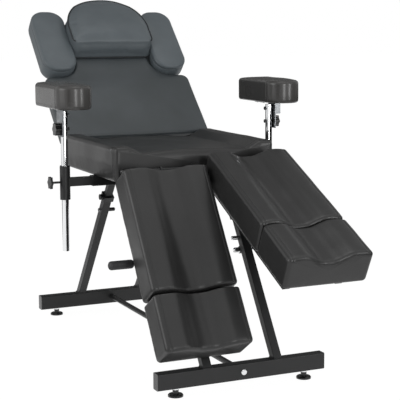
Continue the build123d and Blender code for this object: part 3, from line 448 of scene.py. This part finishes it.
# Spun polyester thread, a shade darker than the leather, with its twist as a fine ribbing.
thread, tree, shader, place = finish("polyester_thread", "#1c1c1d", 0.6)
twist = add(tree, "ShaderNodeTexWave", {}, {"Vector": place, "Scale": 1 / (1.5 * MM), "Distortion": 2.0})
dent = add(tree, "ShaderNodeBump", {},
           {"Height": twist.outputs["Fac"], "Distance": 0.1 * MM, "Strength": 0.5})
tree.links.new(dent.outputs[0], shader.inputs["Normal"])

# Spun-bonded black cloth stapled over the plywood: matt, with short random fibres.
board_cloth, tree, shader, place = finish("black_dust_cloth", "#1b1b1c", 0.9)
fibre = add(tree, "ShaderNodeTexNoise", {},
            {"Vector": place, "Scale": 1 / (1.6 * MM), "Detail": 5.0, "Distortion": 1.5})
dent = add(tree, "ShaderNodeBump", {},
           {"Height": fibre.outputs["Fac"], "Distance": 0.2 * MM, "Strength": 0.6})
fleck = add(tree, "ShaderNodeMix", {"data_type": "RGBA"},
            {"Factor": fibre.outputs["Fac"], 6: linear("#151516"), 7: linear("#262627")})
tree.links.new(dent.outputs[0], shader.inputs["Normal"])
tree.links.new(fleck.outputs[2], shader.inputs["Base Color"])
coat(board_cloth, "seat_board")


def rounded(corners, step):
    """A closed line round corners (x, y, radius), with points at most a step apart."""
    line = []
    for i, (x, y, radius) in enumerate(corners):
        here = Vector((x, y))
        back = Vector(corners[i - 1][:2]) - here
        ahead = Vector(corners[(i + 1) % len(corners)][:2]) - here
        turn = back.angle(ahead)
        if radius == 0 or pi - turn < 0.01:  # a point of the line, or hardly a turn
            line.append(here)
            continue
        centre = here + (back.normalized() + ahead.normalized()).normalized() * radius / sin(turn / 2)
        start = here + back.normalized() * radius / tan(turn / 2) - centre
        end = here + ahead.normalized() * radius / tan(turn / 2) - centre
        swing = pi - turn
        parts = max(3, ceil(swing * radius / min(step, 5)))
        for k in range(parts + 1):
            t = k / parts
            line.append(centre + (start * sin((1 - t) * swing) + end * sin(t * swing)) / sin(swing))
    full = []
    for here, ahead in zip(line, line[1:] + line[:1]):
        parts = max(1, ceil((ahead - here).length / step))
        full += [here.lerp(ahead, k / parts) for k in range(parts) if (ahead - here).length > 0.001]
    return full


def outward(line):
    """Unit normals that point out of a closed line."""
    area = sum(a.x * b.y - b.x * a.y for a, b in zip(line, line[1:] + line[:1]))
    way = 1 if area > 0 else -1
    normals = []
    for i, here in enumerate(line):
        run = line[(i + 1) % len(line)] - line[i - 1]
        normals.append(Vector((run.y, -run.x)).normalized() * way)
    return normals


def inset(line, distance):
    """The line moved inwards by a distance."""
    return [p - n * distance for p, n in zip(line, outward(line))]


def uneven(x, y, z, size, height):
    """Slack in a hand-stretched cover: a smooth rise and fall that repeats on every run."""
    return height * noise.noise(Vector((x, y, z)) / size + Vector((7.3, 1.9, 4.1)))


def edge_steps(start, end, radius_start, radius_end, step, grooves=()):
    """Places along a pad with how far each is drawn in, rounded at both ends, grooved where asked."""
    groove_depth, groove_half = 2.2, 1.8
    quarter = [k / 6 * pi / 2 for k in range(7)]
    steps = [(start + radius_start * (1 - cos(t)), radius_start * (1 - sin(t))) for t in quarter]
    inner = start + radius_start
    fine = [g + d for g in grooves for d in (-5, -3, -1.5, 0, 1.5, 3, 5)]
    count = ceil((end - radius_end - inner) / step)
    places = [inner + (end - radius_end - inner) * k / count for k in range(1, count)] + fine
    for place in sorted(places):
        steps.append((place, sum(groove_depth * exp(-((place - g) / groove_half) ** 2) for g in grooves)))
    return steps + [(end - radius_end * (1 - sin(t)), radius_end * (1 - cos(t))) for t in quarter]


def shrunk(line, middle, k):
    """The points of a line drawn towards a middle, as pairs of numbers."""
    return [(middle.x + (p.x - middle.x) * k, middle.y + (p.y - middle.y) * k) for p in line]


def padded_loft(name, profile, steps, place, material):
    """A cover through one profile at each step, with both ends closed and a little swollen."""
    bulge = 1.5
    middle = sum(profile, Vector((0, 0))) / len(profile)
    rings = []
    for along, drawn in steps:
        rings.append([place(p.x, along, p.y) for p in inset(profile, drawn)])
    ends = []
    for (along, drawn), way in ((steps[0], -1), (steps[-1], 1)):
        rim = inset(profile, drawn)
        inner = []
        for k in (0.97, 0.92, 0.84, 0.72, 0.55, 0.35, 0.15):
            out = along + way * bulge * (1 - k * k)
            inner.append([place(x, out, z) for x, z in shrunk(rim, middle, k)])
        inner.append([place(middle.x, along + way * bulge, middle.y)])
        ends.append(inner)
    return sew(name, ends[0][::-1] + rings + ends[1], material)


seat_front, seat_rear, seat_half = -174.15, 344.85, 300
seat_low, middle_top, bolster_top, middle_half = 648, 743, 769, 199
half_profile = [(292, seat_low, 6), (seat_half, 706, 90), (seat_half, bolster_top, 15),
                (246, bolster_top, 30), (middle_half, middle_top, 26)]
seat_profile = rounded([(0, seat_low, 0)] + half_profile + [(0, middle_top, 0)]
                       + [(-x, z, radius) for x, z, radius in half_profile[::-1]], 7)


def seat_place(x, y, z):
    """A point of the seat cover in metres: crowned middle, slack cover, small puckers low on the sides."""
    crown = 6 * max(0, 1 - (x / middle_half) ** 2) if z > 735 and abs(x) < middle_half else 0
    low = max(0, 1 - (z - seat_low) / 40)
    slack = uneven(x, y, z, 90, 1.4) * (1 - low) + uneven(x * 1.6, y * 1.6, z, 22, 1.5) * low * (1 - low) * 2
    if z < seat_low + 4:
        return Vector((x, y, z)) * MM
    side = 1 if abs(x) > 290 else 0
    return Vector((x + side * slack * (1 if x > 0 else -1), y, z + crown + (0 if side else slack))) * MM


def from_gap(line):
    """Points round a pad with a gap below, in order from the gap's end where x is above 0."""
    first = min((i for i in range(len(line)) if line[i].x > 0), key=lambda i: line[i][-1])
    return line[first:] + line[:first]


seat_seams = (seat_front + 20, seat_front + 27)
seat_steps = edge_steps(seat_front, seat_rear, 16, 12, 9, seat_seams)
seat_cover = padded_loft("seat_cover", seat_profile, seat_steps, seat_place, black_leather)
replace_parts(seat_cover, "seat_cushion")
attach(seat_cover, "base")

# Stitches lie in the seams: their pitch, length and thickness in mm
stitch = (4.2, 3.2, 0.9)
seam = from_gap([p for p in inset(seat_profile, 1.4) if p.y > seat_low + 7])
seam_lines = [[seat_place(p.x, y, p.y) for p in seam] for y in seat_seams]
seat_stitches = beads("seat_stitches", seam_lines, *stitch, thread)
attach(seat_stitches, "base")

# Pan-head screws that hold the boards: one tree places them for every board
screw_tree = bpy.data.node_groups.new("screw_set", "GeometryNodeTree")
screw_inputs = new_inputs(screw_tree, {"Places": "Geometry", "Head": "Float", "Height": "Float",
                                       "Facing": "Vector", "Finish": "Material"})
screw_tree.interface.new_socket("Screws", in_out="OUTPUT", socket_type="NodeSocketGeometry")
given = add(screw_tree, "NodeGroupInput")
rim = add(screw_tree, "GeometryNodeMeshCylinder", {}, {"Vertices": 20, "Radius": 0.5, "Depth": 0.5})
dome = add(screw_tree, "GeometryNodeMeshUVSphere", {}, {"Segments": 20, "Rings": 8, "Radius": 0.5})
dome_low = add(screw_tree, "GeometryNodeTransform", {},
               {"Geometry": dome.outputs[0], "Translation": (0, 0, 0.2), "Scale": (0.96, 0.96, 1.4)})
bar = add(screw_tree, "GeometryNodeMeshCube", {}, {"Size": (0.6, 0.13, 0.9)})
bar_up = add(screw_tree, "GeometryNodeTransform", {},
             {"Geometry": bar.outputs[0], "Translation": (0, 0, 0.55)})
bar_across = add(screw_tree, "GeometryNodeTransform", {},
                 {"Geometry": bar_up.outputs[0], "Rotation": (0, 0, pi / 2)})
recess = add(screw_tree, "GeometryNodeMeshBoolean", {"operation": "UNION"}, {})
screw_tree.links.new(bar_up.outputs[0], recess.inputs["Mesh"])
screw_tree.links.new(bar_across.outputs[0], recess.inputs["Mesh"])
head = add(screw_tree, "GeometryNodeMeshBoolean", {"operation": "UNION"}, {})
screw_tree.links.new(rim.outputs[0], head.inputs["Mesh"])
screw_tree.links.new(dome_low.outputs[0], head.inputs["Mesh"])
cut = add(screw_tree, "GeometryNodeMeshBoolean", {"operation": "DIFFERENCE"}, {0: head.outputs[0]})
screw_tree.links.new(recess.outputs[0], cut.inputs[1])
facing = add(screw_tree, "FunctionNodeAlignRotationToVector", {"axis": "Z"},
             {"Vector": given.outputs["Facing"]})
width = given.outputs["Head"]
girth = add(screw_tree, "ShaderNodeCombineXYZ", {}, {"X": width, "Y": width, "Z": given.outputs["Height"]})
placed = add(screw_tree, "GeometryNodeInstanceOnPoints", {},
             {"Points": given.outputs["Places"], "Instance": cut.outputs[0],
              "Rotation": facing.outputs[0], "Scale": girth.outputs[0]})
plain = add(screw_tree, "GeometryNodeRealizeInstances", {}, {"Geometry": placed.outputs[0]})
painted = add(screw_tree, "GeometryNodeSetMaterial", {},
              {"Geometry": plain.outputs[0], "Material": given.outputs["Finish"]})
add(screw_tree, "NodeGroupOutput", {}, {0: painted.outputs[0]})


def screws(name, places, facing, body, head=9.0):
    """Pan-head screws at places in metres, all facing one way, riding on a body."""
    mesh = bpy.data.meshes.new(f"{name}_places")
    mesh.from_pydata(places, [], [])
    sizes = {"Head": head * MM, "Height": 4 * MM, "Facing": facing, "Finish": chrome}
    piece = grown(name, mesh, screw_tree, screw_inputs, sizes)
    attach(piece, body)


seat_screws = [Vector((x, y, seat_low)) * MM for x in (-265, -190, 190, 265) for y in (-140, 85, 310)]
screws("seat_screws", seat_screws, (0, 0, -1), "base")

# ------------------------------------------------------------- Leg rests
# Two legs that drop separately, each a tube frame on the front axle with a long thigh pad
# and a short foot pad. The pads are moulded foam with a lengthwise valley and stitched edges.
ways = {"right": -1, "left": 1}
rest_drop = {"right": 56, "left": 25}
rest_x, rest_half, rest_low, rest_top, wall_mid, outer_stretch = 153.5, 146.5, -37.9, 75.5, 45, 1.06
groove_in, stitch_in = 17.8, 13.2
valley_corners = [(rest_half - 0.5, rest_low, 15), (rest_half, rest_top, 14)]
for back_from_edge in (14.6, 15.8, 16.8, groove_in, 19, 20.2, 22.6):
    valley_corners.append((rest_half - back_from_edge, rest_top, 0))
valley_corners += [(66, rest_top, 88), (24, 53, 66)]
rest_profile = rounded(valley_corners + [(-x, b, r) for x, b, r in valley_corners[::-1]], 4)


def rest_point(x, a, b, drop):
    """A point of a leg rest, by its distances across, along and off the axle, in metres."""
    down = radians(drop)
    return Vector((x, front_axle_y - a * cos(down) - b * sin(down),
                   front_axle_z - a * sin(down) + b * cos(down))) * MM


def leg_pad(name, side, start, end, lift):
    """One pad from start to end along a leg: swollen lobes beside the valley, a stitched groove by each
    edge, a slack cover, and an underside that rises by lift at the end near the axle."""
    drop, way = rest_drop[side], ways[side]
    centre = way * rest_x
    lobe_x, lobe_half = 97, 38

    def place(x, a, b):
        """A point of the pad, in metres."""
        top = b > 50
        lobe = 4.2 * max(0, 1 - ((abs(x) - lobe_x) / lobe_half) ** 2) if top and 58 < abs(x) < 134 else 0
        groove = -1.4 * exp(-((abs(x) - rest_half + groove_in) / 1.5) ** 2) if top else 0
        slack = uneven(x + centre, a, b, 80, 1.3) if b > -20 else 0
        pucker = uneven(x, a * 1.5, b, 18, 1.6) * max(0, 1 - abs(b + 20) / 14) if abs(x) > 120 else 0
        rise = lift * max(0, 1 - (a - start) / 26) * max(0, min(1, (142 - abs(x)) / 12))
        level = b + lobe + groove + (slack if top else 0)
        if b < wall_mid:
            level = wall_mid - (wall_mid - level) * (1 - rise / (wall_mid - rest_low))
        out = 0 if top else (slack * 0.6 + pucker) * (1 if x > 0 else -1) * (1 if abs(x) > 120 else 0)
        wide = outer_stretch if x * way > 0 else 1
        return rest_point(centre + (x + out) * wide, a, level, drop)

    steps = edge_steps(start, end, 7, 12.5, 8)
    piece = padded_loft(name, rest_profile, steps, place, black_leather)
    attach(piece, f"leg_rest_{side}")
    margin = 10
    length = end - start - 2 * margin
    runs = ceil(length / 8)
    along = [start + margin + length * k / runs for k in range(runs + 1)]
    across = rest_half - stitch_in
    stitch_lines = [[place(x, a, rest_top + 0.1) for a in along] for x in (across, -across)]
    stitches = beads(f"{name}_stitches", stitch_lines, *stitch, thread)
    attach(stitches, f"leg_rest_{side}")
    return piece


for side, way in ways.items():
    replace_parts(leg_pad(f"thigh_pad_{side}", side, 25, 461, 54), f"upper_leg_pad_{side}")
    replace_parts(leg_pad(f"foot_pad_{side}", side, 470.5, 662.5, 0), f"lower_leg_pad_{side}")
    coat(powder_coat, f"leg_rest_frame_{side}")
    coat(board_cloth, f"leg_rest_board_{side}")
    drop = rest_drop[side]
    down = radians(drop)
    under = [rest_point(way * x, a, -38, drop) for x in (75, 195, 260) for a in (95, 330, 505, 620)]
    screws(f"leg_rest_screws_{side}", under, (0, sin(down), -cos(down)), f"leg_rest_{side}")

# ------------------------------------------------------------------ Back
# A tube frame on the rear axle carries a plywood board with a broad cushion that narrows
# at the shoulders to a head panel. The cover is grey imitation leather, drawn tight.
grey_leather = soft_leather("grey_imitation_leather", "#3b4042", "#414649", 0.44)
coat(powder_coat, "back_frame")
coat(board_cloth, "back_board")
lean, back_y, back_z = radians(45), 377.85, 766


def back_point(x, s, n):
    """A point of the back, by its distances across, up its length and off its face, in metres."""
    return Vector((x, back_y + s * cos(lean) - n * sin(lean), back_z + s * sin(lean) + n * cos(lean))) * MM


def crowned_pad(name, outline, levels, middle, crown, place, material):
    """A cover over an outline: side rings at levels (height, drawn in), then a crowned face."""
    rings = [[place(middle.x, middle.y, levels[0][0])]]
    low_rim = inset(outline, levels[0][1])
    for k in (0.5, 0.9):
        rings.append([place(x, y, levels[0][0]) for x, y in shrunk(low_rim, middle, k)])
    for height, drawn in levels:
        rings.append([place(p.x, p.y, height) for p in inset(outline, drawn)])
    height, drawn = levels[-1]
    rim = inset(outline, drawn)
    for k in (0.985, 0.965, 0.94, 0.91, 0.87, 0.82, 0.76, 0.69, 0.61, 0.52, 0.42, 0.31, 0.2, 0.1):
        rings.append([place(x, y, height + crown(x, y, k)) for x, y in shrunk(rim, middle, k)])
    rings.append([place(middle.x, middle.y, height + crown(middle.x, middle.y, 0))])
    return sew(name, rings, material)


def rolled(height, drawn, radius):
    """Steps round an edge, from the side wall up onto the face."""
    turns = [k / 7 * pi / 2 for k in range(8)]
    return [(height - radius * (1 - sin(t)), drawn + radius * (1 - cos(t))) for t in turns]


back_half, head_half, shoulder_s = 303, 158, 292
half_outline = [(back_half, -15, 20), (back_half, shoulder_s, 30), (head_half, shoulder_s, 82),
                (head_half, 592, 60)]
back_outline = rounded(half_outline + [(-x, s, r) for x, s, r in half_outline[::-1]], 8)


def back_place(x, s, n):
    """A point of the back cover, in metres; its slack doesn't rise where the pillow slides."""
    slack = uneven(x, s, n, 130, 1.6) if n > -8 else 0
    under_pillow = max(0, min(1, (s - 250) / 60))
    return back_point(x, s, n + min(0, slack) + max(0, slack) * (1 - under_pillow))


def back_crown(x, s, k):
    """A low crown that fades out towards the pillow."""
    return 5 * (1 - k ** 4) * max(0, min(1, (310 - s) / 90))


back_levels = [(-56, 6), (-44, 2.4), (-28, 0), (-20, 0)] + rolled(0, 0, 13)
back_cover = crowned_pad("back_cover", back_outline, back_levels, Vector((0, 250)),
                         back_crown, back_place, grey_leather)
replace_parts(back_cover, "back_cushion")
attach(back_cover, "back")
back_screws = [back_point(x, s, -68) for x in (-240, -135, 135, 240) for s in (60, 240)]
back_screws += [back_point(x, s, -68) for x in (-120, 120) for s in (340, 560)]
screws("back_screws", back_screws, (0, sin(lean), -cos(lean)), "back")

# The wings and the pillow take a paler copy of the grey leather: painted light, standing in for the brighter
# light on the head end.
head_leather_painted_lit = soft_leather("head_imitation_leather_painted_lit", "#51585c", "#5a6165", 0.43)

# ----------------------------------------------------------------- Wings
# A long rounded pad on each side of the head panel, on steel brackets. Face and side wall
# are cut separately, so a seam runs round below the rolled edge.
wing_x, wing_half, wing_low, wing_high, wing_round, wing_seam = 232, 68, 296, 610, 58, 20
wing_ends = [(wing_half, wing_low), (wing_half, wing_high), (-wing_half, wing_high), (-wing_half, wing_low)]
wing_groove = [(wing_seam + d, 2.4 * exp(-(d / 1.8) ** 2)) for d in (-3.6, -1.8, 0, 1.8, 3.6)]
wing_levels = [(-42, 9), (-36, 4), (-24, 0.6), (-12, 0), (6, 0)] + wing_groove + rolled(40, 0, 14)


def wing_crown(x, s, k):
    """A crown over the whole face."""
    return 6 * (1 - k ** 2.5)


def wing_place(x, s, n):
    """A point of a wing's cover, in metres: slack on the face and low on the side wall."""
    slack = uneven(x, s, n, 70, 1.4)
    return back_point(x + (slack * 0.5 if -30 < n < 14 else 0), s, n + (slack if n > 30 else 0))


for side, way in ways.items():
    wing_outline = rounded([(way * wing_x + x, s, wing_round) for x, s in wing_ends], 6)
    wing_middle = Vector((way * wing_x, (wing_low + wing_high) / 2))
    wing_cover = crowned_pad(f"wing_cover_{side}", wing_outline, wing_levels, wing_middle,
                             wing_crown, wing_place, head_leather_painted_lit)
    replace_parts(wing_cover, f"wing_{side}")
    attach(wing_cover, "back")
    seam = [wing_place(p.x, p.y, wing_seam) for p in inset(wing_outline, 1.8)]
    wing_stitches = beads(f"wing_stitches_{side}", [seam + seam[:1]], *stitch, thread)
    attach(wing_stitches, "back")

# ----------------------------------------------------------- Head pillow
# A thick loose pillow that slides along the head panel. Its domed face is arched at the top and
# its lower side slopes. A piped welt edges the arch of the face, and another the whole back.


def arc(start, through, end, parts):
    """Points along the circle through three points, the first left out."""
    a, b, c = Vector(start), Vector(through), Vector(end)
    d = 2 * (a.x * (b.y - c.y) + b.x * (c.y - a.y) + c.x * (a.y - b.y))
    far_a, far_b, far_c = a.length_squared, b.length_squared, c.length_squared
    centre = Vector(((far_a * (b.y - c.y) + far_b * (c.y - a.y) + far_c * (a.y - b.y)) / d,
                     (far_a * (c.x - b.x) + far_b * (a.x - c.x) + far_c * (b.x - a.x)) / d))
    first, last = a - centre, c - centre
    swing = first.angle(last)
    turns = [k / parts for k in range(1, parts + 1)]
    return [centre + (first * sin((1 - t) * swing) + last * sin(t * swing)) / sin(swing) for t in turns]


def piping(name, line, radius, material, closed=True):
    """A welt: a thin round cord in leather along a line of points in metres."""
    turns = [2 * pi * k / 8 for k in range(8)]
    rings = []
    for i, here in enumerate(line):
        ahead, behind = line[(i + 1) % len(line)], line[i - 1]
        if not closed:
            ahead, behind = line[min(i + 1, len(line) - 1)], line[max(i - 1, 0)]
        along = (ahead - behind).normalized()
        off = along.cross(Vector((0.21, 0.55, 0.81))).normalized()
        up = along.cross(off)
        rings.append([here + (off * cos(t) + up * sin(t)) * radius * MM for t in turns])
    return sew(name, rings + rings[:1] if closed else [line[:1]] + rings + [line[-1:]], material)


pillow_half, pillow_low, pillow_top, pillow_spring = 168, 380, 638, 476
pillow_slope, pillow_thick = 31, 78
arch_rise = pillow_top - pillow_spring
shoulder = (0.70 * pillow_half, pillow_spring + 0.78 * arch_rise)
spring = Vector((pillow_half, pillow_spring))
near_arch = arc(spring, (0.92 * pillow_half, pillow_spring + 0.47 * arch_rise), shoulder, 22)
crest = arc(shoulder, (0, pillow_top), (-shoulder[0], shoulder[1]), 34)
far_arch = [Vector((-p.x, p.y)) for p in ([spring] + near_arch[:-1])[::-1]]
arch = [(p.x, p.y, 0) for p in near_arch + crest + far_arch]
pillow_outline = rounded([(-pillow_half, pillow_low, 22), (pillow_half, pillow_low, 22),
                          (pillow_half, pillow_spring, 0)] + arch, 7)


def pillow_place(x, s, n):
    """A point of the pillow, in metres; the slope of its lower side fades out up the side wall."""
    lean_in = pillow_slope * min(n, pillow_thick) / pillow_thick * max(0, 1 - (s - pillow_low) / 120)
    slack = uneven(x, s, n, 75, 2.2) * (1 if n > 8 else 0)
    return back_point(x, s + lean_in, n + (slack if n > 60 else 0))


def pillow_dome(x, s, k):
    """A soft dome that is flush with the arched rim and with the fold along the lower edge."""
    up = max(0, s - pillow_spring) / arch_rise
    out = min(1, ((abs(x) / pillow_half) ** 2.3 + up ** 2.3) ** (1 / 2.3))
    low = max(0, 1 - (s - pillow_low) / 105)
    return 15 * (1 - out ** 2.6) * (1 - low ** 2.4)


pillow_levels = [(0.6, 7), (3, 2.6), (7, 0.8), (14, 0.2), (28, 0), (46, 0), (60, 0.3), (66, 0.8)]
pillow_levels += rolled(72, 1.2, 5)
pillow_cover = crowned_pad("pillow_cover", pillow_outline, pillow_levels, Vector((0, 505)),
                           pillow_dome, pillow_place, head_leather_painted_lit)


def stuffed(piece, voxel, cap, seams, floor_point, floor_normal):
    """Fills a cover with air in Blender's cloth simulation, and keeps each point within a cap of its
    cut shape, still by the seams, and off the plane that the pad lies on."""
    frames, calm = 20, 22
    sewn = kdtree.KDTree(len(seams))
    for number, point in enumerate(seams):
        sewn.insert(point, number)
    sewn.balance()
    even = piece.modifiers.new("even", "REMESH")
    even.mode = "VOXEL"
    even.voxel_size = voxel * MM
    ready = piece.evaluated_get(bpy.context.evaluated_depsgraph_get())
    mesh = bpy.data.meshes.new_from_object(ready)
    piece.modifiers.remove(even)
    piece.data = mesh
    cut = [v.co.copy() for v in mesh.vertices]
    fabric = piece.modifiers.new("fabric", "CLOTH")
    fabric.settings.use_pressure = True
    fabric.settings.uniform_pressure_force = 4
    fabric.settings.effector_weights.gravity = 0
    fabric.point_cache.frame_end = frames
    for frame_number in range(1, frames + 1):
        scene.frame_set(frame_number)
    ready = piece.evaluated_get(bpy.context.evaluated_depsgraph_get())
    swollen = [v.co.copy() for v in ready.data.vertices]
    piece.modifiers.remove(fabric)
    scene.frame_set(1)
    for vertex, start, end in zip(mesh.vertices, cut, swollen):
        move = end - start
        held = cap * MM * (1 - exp(-(sewn.find(start)[2] / (calm * MM)) ** 2))
        if move.length > held:
            move = move.normalized() * held
        point = start + move
        sunk = (floor_point - point).dot(floor_normal)
        vertex.co = point + floor_normal * max(0, sunk)
    finer = piece.modifiers.new("finer", "SUBSURF")
    finer.levels = finer.render_levels = 1
    ready = piece.evaluated_get(bpy.context.evaluated_depsgraph_get())
    piece.data = bpy.data.meshes.new_from_object(ready)
    piece.modifiers.remove(finer)
    for face in piece.data.polygons:
        face.use_smooth = True


face_rim = inset(pillow_outline, 0.2)
face_seam = [pillow_place(p.x, p.y, 69.5) for p in face_rim]
back_seam = [pillow_place(p.x, p.y, 5.5) for p in inset(pillow_outline, -0.6)]
stuffed(pillow_cover, 4.5, 5, face_seam + back_seam, back_point(0, 0, 0.5),
        Vector((0, -sin(lean), cos(lean))))

# The welts are painted darker than the pillow's leather, as painted shade along its seams
welt_leather_painted_shade = soft_leather("welt_imitation_leather_painted_shade", "#1c1f21", "#222527", 0.45)
arch_seam = from_gap([point for point, cut in zip(face_seam, face_rim) if cut.y > pillow_low + 4])
welts = [piping("welt", arch_seam, 2.6, welt_leather_painted_shade, closed=False),
         piping("welt", back_seam, 2.5, welt_leather_painted_shade)]
pillow_cover = joined([pillow_cover] + welts, "pillow_cover")
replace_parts(pillow_cover, "pillow")
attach(pillow_cover, "head_pillow")

# -------------------------------------------------------------- Armrests
# A square bar slides out of the receiver and carries a sleeve; a chrome post turns and slides
# in it and bears a tilting zinc-plated bracket with a star knob and a firm pad.

# Zinc plate on pressed steel: a duller, greyer shine than chrome, with faint clouding.
zinc, tree, shader, place = finish("zinc_plated_steel", "#6f7173", 0.3, {"Metallic": 1.0})
cloud = add(tree, "ShaderNodeTexNoise", {}, {"Vector": place, "Scale": 1 / (12 * MM), "Detail": 5.0})
tint = add(tree, "ShaderNodeMix", {"data_type": "RGBA"},
           {"Factor": cloud.outputs["Fac"], 6: linear("#5b5d5f"), 7: linear("#818385")})
dull = add(tree, "ShaderNodeMapRange", {}, {"Value": cloud.outputs["Fac"], "To Min": 0.2, "To Max": 0.42})
tree.links.new(tint.outputs[2], shader.inputs["Base Color"])
tree.links.new(dull.outputs[0], shader.inputs["Roughness"])

# The arm pads have a smoother, glossier and slightly warm black, drawn tighter; it is also painted paler, as
# painted light standing in for the light from the left that their sides catch
arm_leather_painted_lit = soft_leather("arm_imitation_leather_painted_lit", "#3b3a39", "#424140", 0.25, 0.5)
arm_x, arm_half, arm_top, seam_y, nose_y, rear_y = 400, 63, 972, -42.15, -104.15, 194
bracket_y, flange_z = 54.85, 887
by_seam = (1.4, 2.8, 5)
corners = [(arm_half, seam_y + off, 0) for off in by_seam]
corners += [(arm_half, rear_y, 18), (-arm_half, rear_y, 18)]
corners += [(-arm_half, seam_y + off, 0) for off in by_seam[::-1] + (0,)]
for t in [pi * k / 34 for k in range(1, 35)]:
    corners.append((-arm_half * cos(t), seam_y - (seam_y - nose_y) * sin(t), 0))
arm_outline = rounded(corners, 5)
arm_levels = [(890, 9), (890.8, 5.4), (893, 2.4), (897, 0.6), (904, 0), (925, 0), (940, 0), (956, 0)]
arm_levels += rolled(arm_top, 0, 13)


def arm_crown(x, y, k):
    """A crown over the whole face."""
    return 7 * (1 - k ** 2.6)


for side, way in ways.items():
    coat(powder_coat, f"arm_bar_{side}")
    coat(moulded_plastic, f"sleeve_bush_{side}", f"sleeve_knob_{side}", f"star_knob_{side}")
    coat(chrome, f"arm_post_{side}")
    coat(zinc, f"pad_bracket_{side}")

    def arm_place(x, y, z):
        """A point of an arm pad, in metres: a seam across each side wall, and slack on the face."""
        pull = 1.5 * exp(-((y - seam_y) / 1.9) ** 2) if abs(x) > 50 and z < arm_top - 2 else 0
        slack = uneven(x + way * arm_x, y, z, 110, 0.9)
        sign = 1 if x > 0 else -1
        out = slack * 0.6 * sign if 896 < z < 952 else 0
        return Vector((way * arm_x + x - pull * sign + out, y, z + (slack if z > arm_top - 4 else 0))) * MM

    arm_cover = crowned_pad(f"arm_pad_cover_{side}", arm_outline, arm_levels, Vector((0, 38)),
                            arm_crown, arm_place, arm_leather_painted_lit)
    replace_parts(arm_cover, f"arm_pad_{side}")
    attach(arm_cover, f"arm_pad_{side}")
    rows = [[arm_place(x, seam_y, z) for z in range(896, 960, 6)] for x in (0.6 - arm_half, arm_half - 0.6)]
    arm_stitches = beads(f"arm_stitches_{side}", rows, *stitch, thread)
    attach(arm_stitches, f"arm_pad_{side}")
    flange = [Vector((way * arm_x + x, bracket_y + y, flange_z)) * MM for x in (-34, 34) for y in (-26, 26)]
    screws(f"arm_screws_{side}", flange, (0, 0, -1), f"arm_pad_{side}", head=8.0)

# -------------------------------------------------------- Lever and peg
# A steel rod with a ribbed rubber grip turns in a lug behind the right front leg, and a
# chrome peg stands in a lug behind the left one.

# Moulded rubber: dark, nearly matt, with a coarse powdery bloom.
rubber, tree, shader, place = finish("moulded_rubber", "#2b2b2c", 0.62, {"IOR": 1.52})
bloom = add(tree, "ShaderNodeTexNoise", {}, {"Vector": place, "Scale": 1 / (5 * MM), "Detail": 4.0})
tint = add(tree, "ShaderNodeMix", {"data_type": "RGBA"},
           {"Factor": bloom.outputs["Fac"], 6: linear("#242425"), 7: linear("#353536")})
dent = add(tree, "ShaderNodeBump", {},
           {"Height": bloom.outputs["Fac"], "Distance": 0.1 * MM, "Strength": 0.4})
tree.links.new(tint.outputs[2], shader.inputs["Base Color"])
tree.links.new(dent.outputs[0], shader.inputs["Normal"])
coat(powder_coat, "release_lever")
coat(rubber, "lever_grip")
coat(chrome, "chrome_peg")
